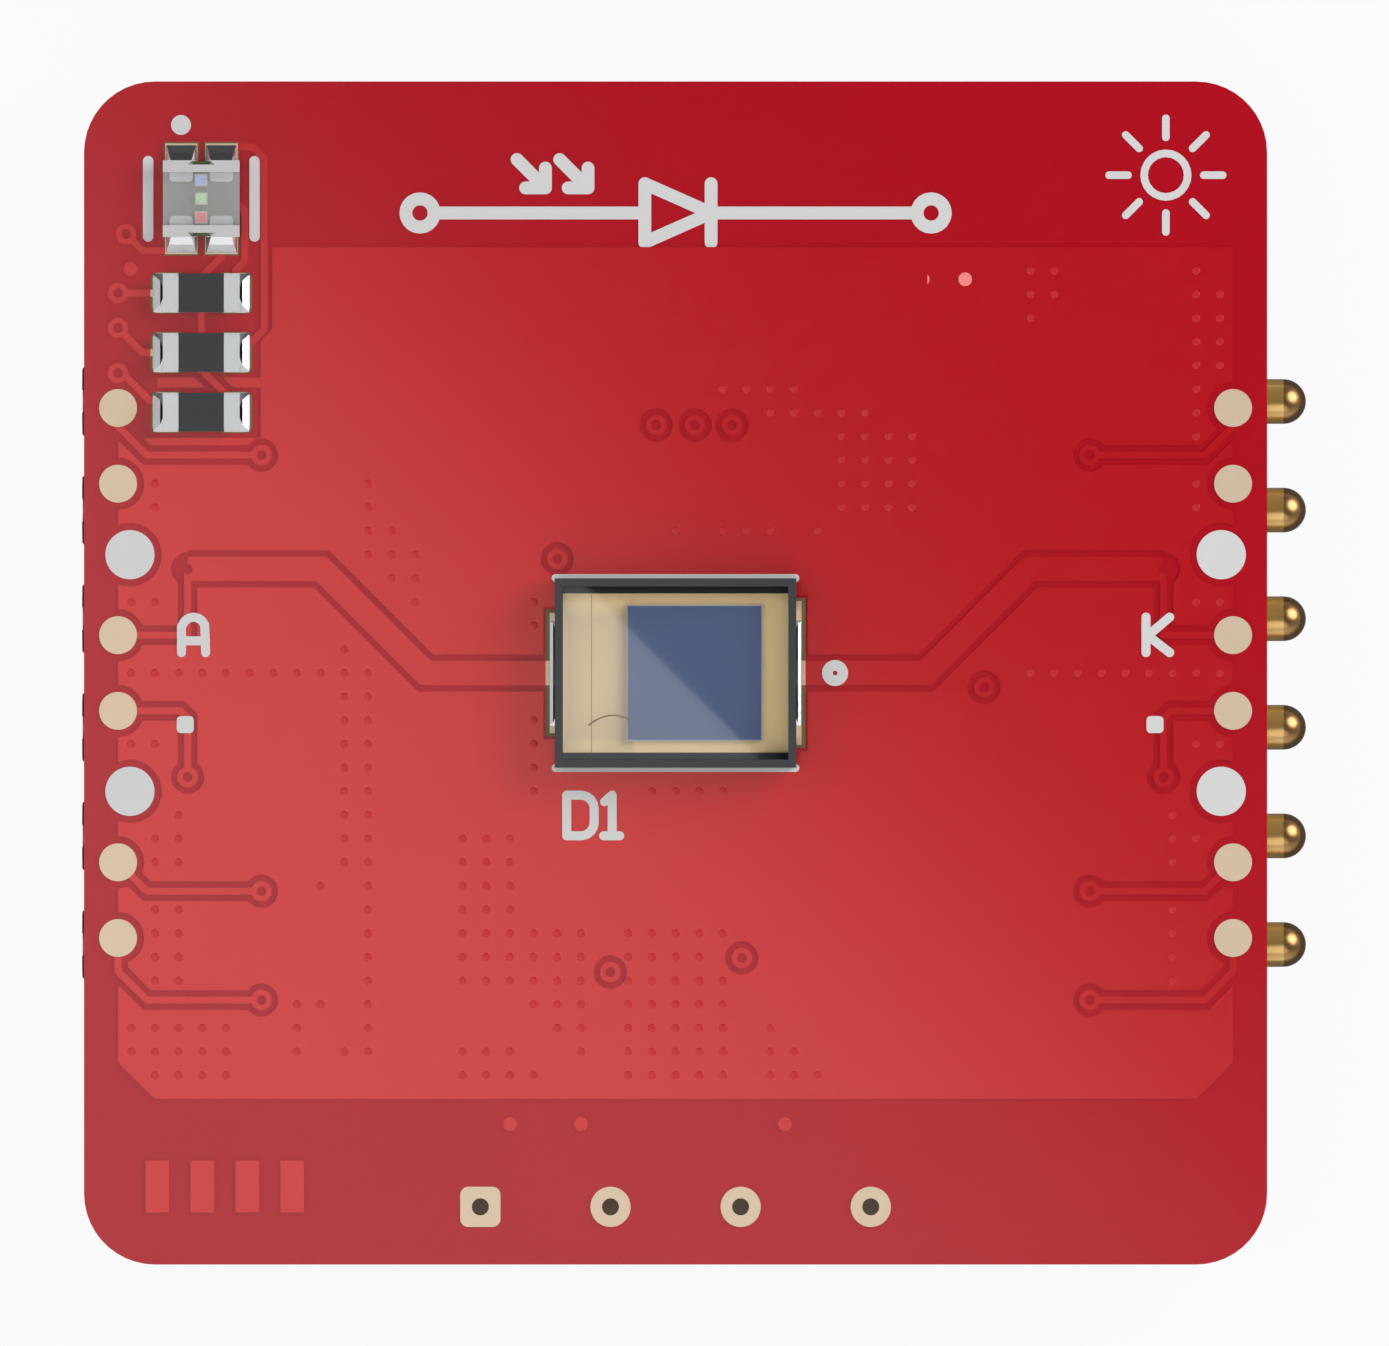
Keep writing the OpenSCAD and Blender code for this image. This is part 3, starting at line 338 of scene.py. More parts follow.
@dataclass(frozen=True)
class Finish:
    """An opaque or filmy finish with a fine grain."""

    name: str
    colour: Colour
    sheen: Sheen
    metallic: float = 0.0
    mottle: float = 0.05
    unevenness: float = 0.06
    grain: float = 0.12
    relief: float = 0.4
    ior: float = 1.5
    alpha: float = 1.0
    glint: Colour = (255, 255, 255)

    def build(self, kit: ShaderKit) -> bpy.types.Material:
        """Make the material.

        Args:
            kit: The shared node groups.

        Returns:
            The finished material.
        """
        material, tree, shader = new_material(self.name)
        bench = Bench(tree, kit, tree.nodes.new("ShaderNodeTexCoord").outputs["Object"])
        pattern = {
            "Vector": bench.place,
            "Colour": self.colour,
            "Scale": 1 / (self.grain * MM),
            "Mottle": self.mottle,
            "Roughness": self.sheen.value,
            "Unevenness": self.unevenness,
        }
        grain = made(tree, "ShaderNodeGroup", pattern, node_tree=kit.grain).outputs
        relief = {"Strength": 1.0, "Distance": self.relief * MICRON, "Height": grain["Height"]}
        values = {
            "Metallic": self.metallic,
            "IOR": self.ior,
            "Alpha": self.alpha,
            "Specular Tint": self.glint,
            "Base Color": self.tinted(bench, grain["Colour"]),
            "Roughness": self.roughened(bench, grain["Roughness"]),
            "Normal": made(tree, "ShaderNodeBump", relief).outputs["Normal"],
        }
        feed(tree, shader, values)
        self.complete(bench, shader)
        return material

    def tinted(self, bench: Bench, colour: Socket) -> Socket:
        """Return the colour unchanged; finishes with a second colour mix it in here."""
        return colour

    def roughened(self, bench: Bench, roughness: Socket) -> Socket:
        """Return the roughness unchanged; finishes with a second gloss mix it in here."""
        return roughness

    def complete(self, bench: Bench, shader: bpy.types.Node) -> None:
        """Leave the shader as it is; finishes that set more of its sockets do so here."""


@dataclass(frozen=True)
class BorderedFinish(Finish):
    """A finish with another colour outside an upright box."""

    border: Colour = (255, 255, 255)
    centre: Point = (0.0, 0.0)
    half: Point = (1.0, 1.0)
    fade: float = 0.001

    def tinted(self, bench: Bench, colour: Socket) -> Socket:
        """Mix in the border outside the box."""
        outside = bench.kit.outside_box(bench.tree, bench.place, self.centre, self.half, self.fade)
        return blended(bench.tree, outside, colour, self.border)


@dataclass(frozen=True)
class BoardFinish(Finish):
    """Solder mask on both faces of the board, with the cut laminate's cloth layers showing round the edge."""

    laminate: Colour = (154, 136, 91)
    resin: Colour = (144, 128, 83)
    layer: float = 0.18
    layer_waviness: float = 2.5
    layer_detail: float = 3.0
    bottom: float = 0.0
    top: float = 1.0
    film: float = 0.03

    def tinted(self, bench: Bench, colour: Socket) -> Socket:
        """Mix in the laminate's layers between the two mask films.

        Args:
            bench: What the finish builds with.
            colour: The mask's own colour.

        Returns:
            The socket of the mixed colour.
        """
        middle = (self.bottom + self.top) / 2 * MM
        reach = ((self.top - self.bottom) / 2 - self.film) * MM
        cut = joined(bench.tree, "COMPARE", coordinate(bench.tree, bench.place, "Z"), middle, reach)
        layers = {
            "Vector": bench.place,
            "Scale": math.tau / WAVE_BANDS / (self.layer * MM),
            "Distortion": self.layer_waviness,
            "Detail": self.layer_detail,
        }
        cloth = made(bench.tree, "ShaderNodeTexWave", layers, bands_direction="Z")
        edge = blended(bench.tree, cloth.outputs["Fac"], self.laminate, self.resin)
        return blended(bench.tree, cut, colour, edge)


@dataclass(frozen=True)
class PinFinish(Finish):
    """Plated pin under a bright film: a round nose whose dark colour is painted shade for its dark
    reflections, and a paler shank that is less of a mirror.
    """

    nose_x: float = 0.0
    shank: Colour = (255, 255, 255)
    shank_sheen: Sheen = Sheen.SOFT
    shank_metallic: float = 1.0
    film_ior: float = 1.8

    def _behind_nose(self, bench: Bench) -> Socket:
        """Return a mask that is 1 on the shank."""
        along = coordinate(bench.tree, bench.place, "X")
        return joined(bench.tree, "LESS_THAN", along, self.nose_x * MM)

    def tinted(self, bench: Bench, colour: Socket) -> Socket:
        """Mix in the shank's colour behind the nose."""
        return blended(bench.tree, self._behind_nose(bench), colour, self.shank)

    def roughened(self, bench: Bench, roughness: Socket) -> Socket:
        """Add the shank's roughness behind the nose.

        Args:
            bench: What the finish builds with.
            roughness: The nose's roughness.

        Returns:
            The socket of the sum.
        """
        more = self.shank_sheen.value - self.sheen.value
        behind = joined(bench.tree, "MULTIPLY", self._behind_nose(bench), more)
        return joined(bench.tree, "ADD", roughness, behind)

    def complete(self, bench: Bench, shader: bpy.types.Node) -> None:
        """Lay the film over the pin, and mix in the shank's share of metal behind the nose.

        Args:
            bench: What the finish builds with.
            shader: The material's shader.
        """
        less = self.shank_metallic - self.metallic
        behind = joined(bench.tree, "MULTIPLY", self._behind_nose(bench), less)
        values = {
            "Metallic": joined(bench.tree, "ADD", behind, self.metallic),
            "Coat Weight": 1.0,
            "Coat IOR": self.film_ior,
            "Coat Roughness": self.sheen.value,
        }
        feed(bench.tree, shader, values)


@dataclass(frozen=True)
class SolderFinish(Finish):
    """Bright solder with painted shade: a dark colour on the steep faces at its root, standing for their dark
    reflections.
    """

    stain: Colour = (0, 0, 0)
    steep: float = 0.585

    def tinted(self, bench: Bench, colour: Socket) -> Socket:
        """Mix in the painted shade on the steep faces.

        Args:
            bench: What the finish builds with.
            colour: The solder's own colour.

        Returns:
            The socket of the mixed colour.
        """
        normal = bench.tree.nodes.new("ShaderNodeNewGeometry").outputs["Normal"]
        steep = joined(bench.tree, "LESS_THAN", coordinate(bench.tree, normal, "Z"), self.steep)
        return blended(bench.tree, steep, colour, self.stain)


@dataclass(frozen=True)
class ClearFinish:
    """Clear glass that lets lamps reach what is behind it."""

    name: str
    colour: Colour
    sheen: Sheen
    passed_light: float = 0.98

    def build(self, kit: ShaderKit) -> bpy.types.Material:
        """Make the material, which needs none of the shared groups.

        Args:
            kit: The shared node groups.

        Returns:
            The finished material.
        """
        material, tree, shader = new_material(self.name)
        values = {"Base Color": self.colour, "Roughness": self.sheen.value, "Transmission Weight": 1.0}
        feed(tree, shader, values)
        clear = tree.nodes.new("ShaderNodeBsdfTransparent")
        clear.inputs["Color"].default_value = (*[self.passed_light] * 3, 1)
        rays = tree.nodes.new("ShaderNodeLightPath")
        both = shader_mix(tree, rays.outputs["Is Shadow Ray"], shader.outputs["BSDF"], clear.outputs["BSDF"])
        feed(tree, tree.nodes["Material Output"], {"Surface": both})
        return material


MASK_RED = (185, 10, 31)
COPPER_RED = (201, 12, 31)
COPPER_GLINT = (255, 158, 149)
COPPER_IOR = 2.5
BOARD_GOLD = (236, 214, 187)
BRIGHT_SOLDER = (226, 228, 230)
NOSE_START = 12.875

FINISHES: tuple[Finish | ClearFinish, ...] = (
    Finish(
        "mask_on_copper", COPPER_RED, Sheen.SATIN, grain=0.3, relief=0.3, ior=COPPER_IOR, glint=COPPER_GLINT
    ),
    Finish("via_cap", COPPER_RED, Sheen.SOFT, grain=0.1, relief=0.3, ior=2.3, glint=COPPER_GLINT),
    # Bright pink disc: painted highlight of a small bump lit by the lamp.
    Finish("painted_highlight_dot", (255, 140, 136), Sheen.MATT, mottle=0.04, grain=0.1, relief=0.3),
    Finish("white_print", (222, 222, 221), Sheen.MATT, grain=0.06, relief=1.0),
    Finish("board_gold", BOARD_GOLD, Sheen.MATT, metallic=0.75, mottle=0.06, grain=0.08, relief=0.8),
    Finish("package_frame", (54, 58, 60), Sheen.SOFT, mottle=0.1, grain=0.05, relief=1.0),
    Finish("package_base", (44, 46, 48), Sheen.MATT, mottle=0.1, grain=0.08, relief=1.0),
    # Gold floor of the photodiode: its brighter colour outside the box is painted light, making up for the
    # shade of the frame's walls.
    BorderedFinish(
        "floor_gold_painted_light",
        (202, 178, 138),
        Sheen.SOFT,
        metallic=0.15,
        mottle=0.03,
        relief=0.1,
        border=(253, 221, 158),
        centre=(-1.65, -0.1),
        half=(0.6, 1.25),
        fade=0.4,
    ),
    # The dark colour on the solder's steep faces is painted shade.
    SolderFinish(
        "solder", BRIGHT_SOLDER, Sheen.SATIN, metallic=1.0, mottle=0.1, relief=0.8, stain=(36, 34, 34)
    ),
    Finish("light_rim", (206, 207, 206), Sheen.SOFT, grain=0.05, relief=0.8),
    Finish("light_resin", (228, 228, 226), Sheen.POLISHED, alpha=0.12, grain=0.1, relief=0.2),
    Finish("tin_plating", (219, 222, 224), Sheen.SOFT, metallic=0.5, mottle=0.06, grain=0.05, relief=1.5),
    Finish("alumina", (232, 229, 222), Sheen.MATT, grain=0.03, relief=1.0),
    Finish("resistor_coat", (46, 50, 53), Sheen.SOFT, mottle=0.1, grain=0.05, relief=0.8),
    Finish("housing_black", (34, 34, 36), Sheen.SOFT, mottle=0.15, grain=0.06, relief=1.5),
    Finish("pin_gold", (220, 187, 129), Sheen.SATIN, metallic=1.0, mottle=0.06, grain=0.15, relief=0.3),
    PinFinish(
        "pin_tip",
        # Painted shade: the nose's dark colour darkens its reflections.
        (172, 122, 42),
        Sheen.BRUSHED,
        metallic=1.0,
        mottle=0.06,
        grain=0.15,
        relief=0.3,
        nose_x=NOSE_START,
        shank=(230, 184, 94),
        shank_sheen=Sheen.SATIN,
        shank_metallic=0.6,
    ),
    Finish("fine_wire", (120, 98, 60), Sheen.SOFT, metallic=0.5, relief=0.2),
    Finish("light_wire", (206, 207, 204), Sheen.MATT, relief=0.2, alpha=0.08),
    Finish("spring_steel", (188, 190, 193), Sheen.SATIN, metallic=1.0, mottle=0.06, grain=0.04, relief=0.4),
    Finish("bare_laminate", (122, 104, 62), Sheen.SOFT, mottle=0.2, grain=0.05, relief=1.0),
    ClearFinish("window_glass", (252, 253, 255), Sheen.MIRROR),
)

NODE_FINISHES: dict[str, tuple[str, ...]] = {
    "mask_on_copper": ("copper_pour", "copper_traces"),
    "white_print": ("silkscreen_marks",),
    "board_gold": (
        "edge_test_pads",
        "plated_holes",
        "photodiode_lands",
        "led_lands",
        "resistor_lands",
        "connector_lands",
        "photodiode_terminals",
        "target_contacts",
    ),
    "package_frame": ("photodiode_frame",),
    "package_base": ("photodiode_base",),
    "floor_gold_painted_light": ("photodiode_floor",),
    "window_glass": ("photodiode_window",),
    "solder": (
        "photodiode_solder",
        "led_solder",
        "connector_solder",
        *numbered("resistor_{}_solder", CHIP_COUNT),
    ),
    "light_rim": ("led_rim",),
    "light_resin": ("led_lens",),
    "tin_plating": ("led_terminals", *numbered("resistor_{}_end_caps", CHIP_COUNT)),
    "alumina": numbered("resistor_{}_ceramic", CHIP_COUNT),
    "resistor_coat": numbered("resistor_{}_coat", CHIP_COUNT),
    "housing_black": ("spring_pin_housing", "target_housing"),
    "pin_gold": ("spring_pin_barrels",),
    "pin_tip": numbered("plunger_{}", PIN_COUNT),
    "fine_wire": ("photodiode_bond_wire",),
    "light_wire": ("led_bond_wires",),
}


@dataclass
class Dresser:
    """Puts the finishes on the solids and keeps them for the added pieces."""

    frame: dict
    kit: ShaderKit
    materials: dict[str, bpy.types.Material] = field(default_factory=dict)

    def add(self, finish: Finish | ClearFinish) -> bpy.types.Material:
        """Build a finish and keep its material by name.

        Args:
            finish: The finish to build.

        Returns:
            Its material.
        """
        self.materials[finish.name] = finish.build(self.kit)
        return self.materials[finish.name]

    def paint(self, node: str, material: bpy.types.Material) -> None:
        """Give a solid its material.

        Args:
            node: The solid's name.
            material: The material to put on it.
        """
        mesh = self.frame["nodes"][node].data
        mesh.materials.clear()
        mesh.materials.append(material)

    def dress(self) -> None:
        """Build every finish and paint every solid."""
        for finish in FINISHES:
            self.add(finish)
        for name, nodes in NODE_FINISHES.items():
            for node in nodes:
                self.paint(node, self.materials[name])
        self._dress_board()
        self._dress_chips()

    def _dress_board(self) -> None:
        """Paint the board's mask faces and cut edge."""
        low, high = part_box("circuit_board")
        board = BoardFinish(
            "board_mask", MASK_RED, Sheen.SATIN, grain=0.3, relief=0.3, bottom=low.z / MM, top=high.z / MM
        )
        self.paint("circuit_board", self.add(board))

    def _dress_chips(self) -> None:
        """Paint the bare silicon chips with their thin borders, and the light's base under its resin."""
        looks = (
            ("photodiode_die", "photodiode_die", 0.02, (62, 81, 115), (134, 146, 176), Sheen.MATT),
            ("led_die_red", "led_die_red", 0.03, (255, 131, 131), (206, 196, 180), Sheen.SOFT),
            ("led_die_green", "led_die_green", 0.03, (191, 244, 182), (206, 206, 190), Sheen.SOFT),
            ("led_die_blue", "led_die_blue", 0.03, (181, 198, 252), (200, 204, 206), Sheen.SOFT),
            ("led_base", "led_lens", 0.0, (147, 149, 144), (98, 106, 66), Sheen.SOFT),
        )
        for node, outline, edge, colour, border, sheen in looks:
            centre, half = self._inner(outline, edge)
            chip = BorderedFinish(
                f"{node}_surface",
                colour,
                sheen,
                grain=0.2,
                relief=0.05,
                border=border,
                centre=centre,
                half=half,
            )
            self.paint(node, self.add(chip))

    @staticmethod
    def _inner(node: str, edge: float) -> tuple[Point, Point]:
        """Measure a solid's outline from above, less an edge.

        Args:
            node: The solid's name.
            edge: The width to take off all round.

        Returns:
            The outline's middle and its half size.
        """
        low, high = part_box(node)
        middle = (low + high) / 2 / MM
        half = (high - low) / 2 / MM
        return (middle.x, middle.y), (half.x - edge, half.y - edge)


def new_piece(name: str, mesh: bpy.types.Mesh, material: bpy.types.Material) -> bpy.types.Object:
    """Add a finished mesh to the scene as a piece that rides with the board.

    Args:
        name: The piece's name.
        mesh: Its mesh, already in place.
        material: Its finish.

    Returns:
        The piece.
    """
    piece = bpy.data.objects.new(name, mesh)
    bpy.context.scene.collection.objects.link(piece)
    if not mesh.materials:
        mesh.materials.append(material)
    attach(piece, ROOT_BODY)
    log.info("%s: %d faces", name, len(mesh.polygons))
    return piece


def grown(name: str, seed: bpy.types.Mesh, tree: Tree, values: dict[str, float]) -> bpy.types.Mesh:
    """Run a mesh through a Geometry Nodes tree.

    Args:
        name: The new mesh's name.
        seed: The mesh to start from.
        tree: The tree.
        values: The values of the tree's named inputs.

    Returns:
        The result as a plain mesh.
    """
    maker = bpy.data.objects.new(f"{name}_maker", seed)
    bpy.context.scene.collection.objects.link(maker)
    modifier = maker.modifiers.new(name, "NODES")
    modifier.node_group = tree
    for item in tree.interface.items_tree:
        if item.item_type == "SOCKET" and item.in_out == "INPUT" and item.name in values:
            modifier[item.identifier] = values[item.name]
    graph = bpy.context.evaluated_depsgraph_get()
    mesh = bpy.data.meshes.new_from_object(maker.evaluated_get(graph))
    mesh.name = name
    bpy.data.objects.remove(maker)
    return mesh


def arc(centre: Point, radius: float, start: float, end: float, steps: int) -> list[Point]:
    """Return points along an arc.

    Args:
        centre: The arc's centre.
        radius: Its radius.
        start: First angle in degrees.
        end: Last angle in degrees.
        steps: Number of chords.

    Returns:
        The points, both ends included.
    """
    angles = [math.radians(start + (end - start) * i / steps) for i in range(steps + 1)]
    return [(centre[0] + radius * math.cos(a), centre[1] + radius * math.sin(a)) for a in angles]


def add_plate(form: Form, outline: Sequence[Point], level: float, thickness: float) -> None:
    """Add a flat plate to a mesh.

    Args:
        form: The mesh being built.
        outline: The plate's outline, anticlockwise from above.
        level: The height of its underside, in metres.
        thickness: Its thickness.
    """
    lower, upper = (
        [form.verts.new((x * MM, y * MM, z)) for x, y in outline] for z in (level, level + thickness * MM)
    )
    form.faces.new(reversed(lower))
    form.faces.new(upper)
    for i in range(len(outline)):
        after = (i + 1) % len(outline)
        form.faces.new((lower[i], lower[after], upper[after], upper[i]))


def add_ring(
    form: Form, outer: Sequence[Point], inner: Sequence[Point], level: float, thickness: float
) -> None:
    """Add a flat ring to a mesh.

    Args:
        form: The mesh being built.
        outer: The ring's outer outline, anticlockwise from above.
        inner: Its inner outline, with as many points.
        level: The height of its underside, in metres.
        thickness: Its thickness.
    """
    top = level + thickness * MM
    loops = [
        [form.verts.new((x * MM, y * MM, z)) for x, y in outline]
        for outline, z in ((outer, level), (outer, top), (inner, top), (inner, level))
    ]
    for first, second in zip(loops, loops[1:] + loops[:1]):
        for i in range(len(outer)):
            after = (i + 1) % len(outer)
            form.faces.new((first[i], first[after], second[after], second[i]))


def rectangle(left: float, bottom: float, right: float, top: float) -> list[Point]:
    """Return a rectangle's outline, anticlockwise from its lower left corner."""
    return [(left, bottom), (right, bottom), (right, top), (left, top)]


def as_mesh(form: Form, name: str) -> bpy.types.Mesh:
    """Turn a mesh under construction into a finished one, and free it.

    Args:
        form: The mesh being built.
        name: The new mesh's name.

    Returns:
        The finished mesh.
    """
    mesh = bpy.data.meshes.new(name)
    form.to_mesh(mesh)
    form.free()
    return mesh


def welded(mesh: bpy.types.Mesh) -> Form:
    """Copy a mesh of loose triangles, and let them share their corners.

    Args:
        mesh: The mesh to copy.

    Returns:
        The copy, as a mesh under construction.
    """
    form = bmesh.new()
    form.from_mesh(mesh)
    bmesh.ops.remove_doubles(form, verts=form.verts, dist=WELD)
    return form


@dataclass
class StitchingVias:
    """The small filled vias that stitch the copper fill, on a grid centred on the board."""

    pitch: float = 0.5
    radius: float = 0.085
    height: float = 0.004
    sides: int = 12
    rings: int = 6
    # First and last column, first and last row of each block of vias
    blocks: tuple[tuple[int, int, int, int], ...] = (
        (-23, -22, 3, 3), (-23, -15, 0, 0), (-23, -22, -3, -3), (-23, -23, -16, -15), (-22, -22, 7, 8),
        (-22, -22, -8, -7), (-21, -21, -8, -6), (-22, -21, -13, -10), (-22, -19, -17, -15),
        (-16, -16, -16, -14), (-15, -15, -9, -9), (-15, -15, -14, -14), (-14, -14, -8, 1),
        (-14, -14, -16, -16), (-13, -13, 5, 8),
        (-13, -13, -16, 0), (-12, -12, 4, 6), (-11, -11, 3, 5), (-9, -7, -13, -7), (-9, -7, -17, -16),
        (-6, -6, 2, 3), (-6, -6, -5, -2), (-6, -6, -14, -11), (-6, -6, -17, -17), (-5, -5, -15, -11),
        (-4, -4, -16, -11), (-2, 1, -17, -11), (2, 2, -11, -11), (2, 2, -17, -13), (-1, 2, -5, -5),
        (4, 4, -17, -15), (5, 5, -17, -16), (6, 6, -17, -17), (0, 0, 6, 6), (2, 5, 12, 12), (2, 4, 6, 6),
        (6, 6, 6, 6), (4, 8, 11, 11), (7, 10, 7, 10), (15, 15, 15, 17), (16, 16, 16, 17), (15, 23, 0, 0),
        (21, 21, -8, -6), (21, 21, -13, -10), (22, 22, 10, 17), (23, 23, 13, 16), (22, 22, 7, 8),
        (22, 23, 3, 3), (22, 23, -3, -3), (22, 22, -7, -7),
    )

    def places(self) -> list[Point]:
        """Return every via's place, each once."""
        found = {
            (column, row)
            for first, last, low, high in self.blocks
            for column in range(first, last + 1)
            for row in range(low, high + 1)
        }
        return [(column * self.pitch, row * self.pitch) for column, row in sorted(found)]

    def tree(self, material: bpy.types.Material) -> Tree:
        """Build the node tree that sets a flattened dome on each point.

        Args:
            material: The domes' finish.

        Returns:
            The Geometry Nodes tree.
        """
        tree = bpy.data.node_groups.new("stitching_vias", "GeometryNodeTree")
        give_sockets(
            tree, {"Places": "Geometry", "Radius": "Float", "Height": "Float"}, {"Vias": "Geometry"}
        )
        given = tree.nodes.new("NodeGroupInput").outputs
        unit = {"Segments": self.sides, "Rings": self.rings, "Radius": 1.0}
        dome = made(tree, "GeometryNodeMeshUVSphere", unit)
        smooth = made(tree, "GeometryNodeSetShadeSmooth", {"Geometry": dome.outputs["Mesh"]})
        axes = {"X": given["Radius"], "Y": given["Radius"], "Z": given["Height"]}
        each = {
            "Points": given["Places"],
            "Instance": smooth.outputs["Geometry"],
            "Scale": made(tree, "ShaderNodeCombineXYZ", axes).outputs[0],
        }
        spread = made(tree, "GeometryNodeInstanceOnPoints", each)
        real = made(tree, "GeometryNodeRealizeInstances", {"Geometry": spread.outputs["Instances"]})
        coat = {"Geometry": real.outputs["Geometry"], "Material": material}
        finish = made(tree, "GeometryNodeSetMaterial", coat)
        made(tree, "NodeGroupOutput", {"Vias": finish.outputs["Geometry"]})
        return tree

    def build(self, dresser: Dresser) -> None:
        """Make the vias as one piece on the copper fill.

        Args:
            dresser: Holds the finishes.
        """
        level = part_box("copper_pour")[1].z
        points = bpy.data.meshes.new("via_places")
        points.from_pydata([(x * MM, y * MM, level) for x, y in self.places()], [], [])
        sizes = {"Radius": self.radius * MM, "Height": self.height * MM}
        mesh = grown("stitching_vias", points, self.tree(dresser.materials["via_cap"]), sizes)
        new_piece("stitching_vias", mesh, dresser.materials["via_cap"])


@dataclass
class PrintedSigns:
    """White printed signs: the photodiode's circuit symbol, terminal letters, a sun and the part letter."""

    thickness: float = 0.02
    symbol_stroke: float = 0.27
    letter_stroke: float = 0.19
    sun_stroke: float = 0.16
    cap_sides: int = 12

    @staticmethod
    def circuit_symbol() -> list[list[Point]]:
        """Draw the photodiode symbol: leads, triangle, bar and two arrows of light.

        Returns:
            Its strokes.
        """
        middle, half, tip, back = 9.72, 0.62, 0.75, -0.65
        lead_end, ring_x, ring_radius, ring_sides = 5.1, 5.4, 0.3, 20
        leads = [[(-lead_end, middle), (back, middle)], [(tip, middle), (lead_end, middle)]]
        ends = [arc((side * ring_x, middle), ring_radius, 0, 360, ring_sides) for side in (-1, 1)]
        triangle = [(back, middle + half), (tip, middle), (back, middle - half), (back, middle + half)]
        bar = [(tip, middle + half), (tip, middle - half)]
        head_y, tail_y, slant, barb = 10.25, 10.85, 0.6, 0.42
        arrows: list[list[Point]] = []
        for head_x in (-2.75, -1.85):
            head = (head_x, head_y)
            barbs = [(head_x - barb, head_y), head, (head_x, head_y + barb)]
            arrows += [[(head_x - slant, tail_y), head], barbs]
        return [*leads, *ends, triangle, bar, *arrows]

    @staticmethod
    def sun() -> list[list[Point]]:
        """Draw a plain sun: a ring and eight rays.

        Returns:
            Its strokes.
        """
        centre, ring_radius, ring_sides = (10.36, 10.52), 0.46, 24
        ray_count, ray_ends = 8, (0.8, 1.2)
        rays = []
        for i in range(ray_count):
            turn = math.radians(360 / ray_count * i)
            way = (math.cos(turn), math.sin(turn))
            rays.append([(centre[0] + r * way[0], centre[1] + r * way[1]) for r in ray_ends])
        return [arc(centre, ring_radius, 0, 360, ring_sides), *rays]

    @staticmethod
    def letters() -> list[list[Point]]:
        """Draw the terminal letters, and the part's letter and digit.

        Returns:
            Their strokes.
        """
        low, high = 0.43, 1.18
        left, right, crossbar = -10.44, -9.93, low + 0.25
        crown, crown_radius, shoulder = (-10.185, high - 0.25), 0.25, high - 0.2
        letter_a = [
            [(left, low), (left, shoulder), *arc(crown, crown_radius, 160, 20, 6), (right, low)],
            [(left, crossbar), (right, crossbar)],
        ]
        stem, arm, knee = 9.94, 10.44, (9.98, low + 0.36)
        letter_k = [[(stem, low), (stem, high)], [(arm, high), knee, (arm, low)]]
        bottom, top = -3.44, -2.58
        back, bow, bend = -2.3, -2.0, 0.28
        letter_d = [
            (back, bottom), (back, top), (bow, top), *arc((bow, top - bend), bend, 80, 0, 4),
            *arc((bow, bottom + bend), bend, 0, -80, 4), (bow, bottom), (back, bottom),
        ]
        post, flag, foot = -1.34, (-1.5, top - 0.14), (-1.52, -1.18)
        digit_1 = [[flag, (post, top), (post, bottom)], [(x, bottom) for x in foot]]
        return [*letter_a, *letter_k, letter_d, *digit_1]

    def _capsule(self, form: Form, start: Point, end: Point, width: float, level: float) -> None:
        """Add one round-ended stroke to a mesh.

        Args:
            form: The mesh being built.
            start: The stroke's first end.
            end: Its other end.
            width: Its width.
            level: The height of its underside, in metres.
        """
        turn = math.degrees(math.atan2(end[1] - start[1], end[0] - start[0]))
        outline = [
            *arc(end, width / 2, turn - 90, turn + 90, self.cap_sides),
            *arc(start, width / 2, turn + 90, turn + 270, self.cap_sides),
        ]
        add_plate(form, outline, level, self.thickness)

    def _merging_tree(self, material: bpy.types.Material) -> Tree:
        """Build the node tree that merges crossing strokes into clean outlines.

        Args:
            material: The print's finish.

        Returns:
            The Geometry Nodes tree.
        """
        tree = bpy.data.node_groups.new("merged_strokes", "GeometryNodeTree")
        give_sockets(tree, {"Strokes": "Geometry"}, {"Print": "Geometry"})
        given = tree.nodes.new("NodeGroupInput").outputs
        strokes = {"Mesh 2": given["Strokes"], "Self Intersection": True}
        merge = made(tree, "GeometryNodeMeshBoolean", strokes, operation="UNION", solver="EXACT")
        coat = {"Geometry": merge.outputs["Mesh"], "Material": material}
        finish = made(tree, "GeometryNodeSetMaterial", coat)
        made(tree, "NodeGroupOutput", {"Print": finish.outputs["Geometry"]})
        return tree

    def _print(
        self, dresser: Dresser, name: str, strokes: Iterable[list[Point]], width: float, level: float
    ) -> None:
        """Make one printed sign.

        Args:
            dresser: Holds the finishes.
            name: The piece's name.
            strokes: Its strokes.
            width: The strokes' width.
            level: The height of the surface it is printed on, in metres.
        """
        form = bmesh.new()
        for stroke in strokes:
            for start, end in zip(stroke, stroke[1:]):
                self._capsule(form, start, end, width, level)
        finish = dresser.materials["white_print"]
        mesh = grown(name, as_mesh(form, f"{name}_strokes"), self._merging_tree(finish), {})
        new_piece(name, mesh, finish)

    def build(self, dresser: Dresser) -> None:
        """Print all the signs.

        Args:
            dresser: Holds the finishes.
        """
        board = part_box("circuit_board")[1].z
        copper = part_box("copper_pour")[1].z
        self._print(dresser, "circuit_symbol", self.circuit_symbol(), self.symbol_stroke, board)
        self._print(dresser, "sun_sign", self.sun(), self.sun_stroke, board)
        self._print(dresser, "terminal_letters", self.letters(), self.letter_stroke, copper)


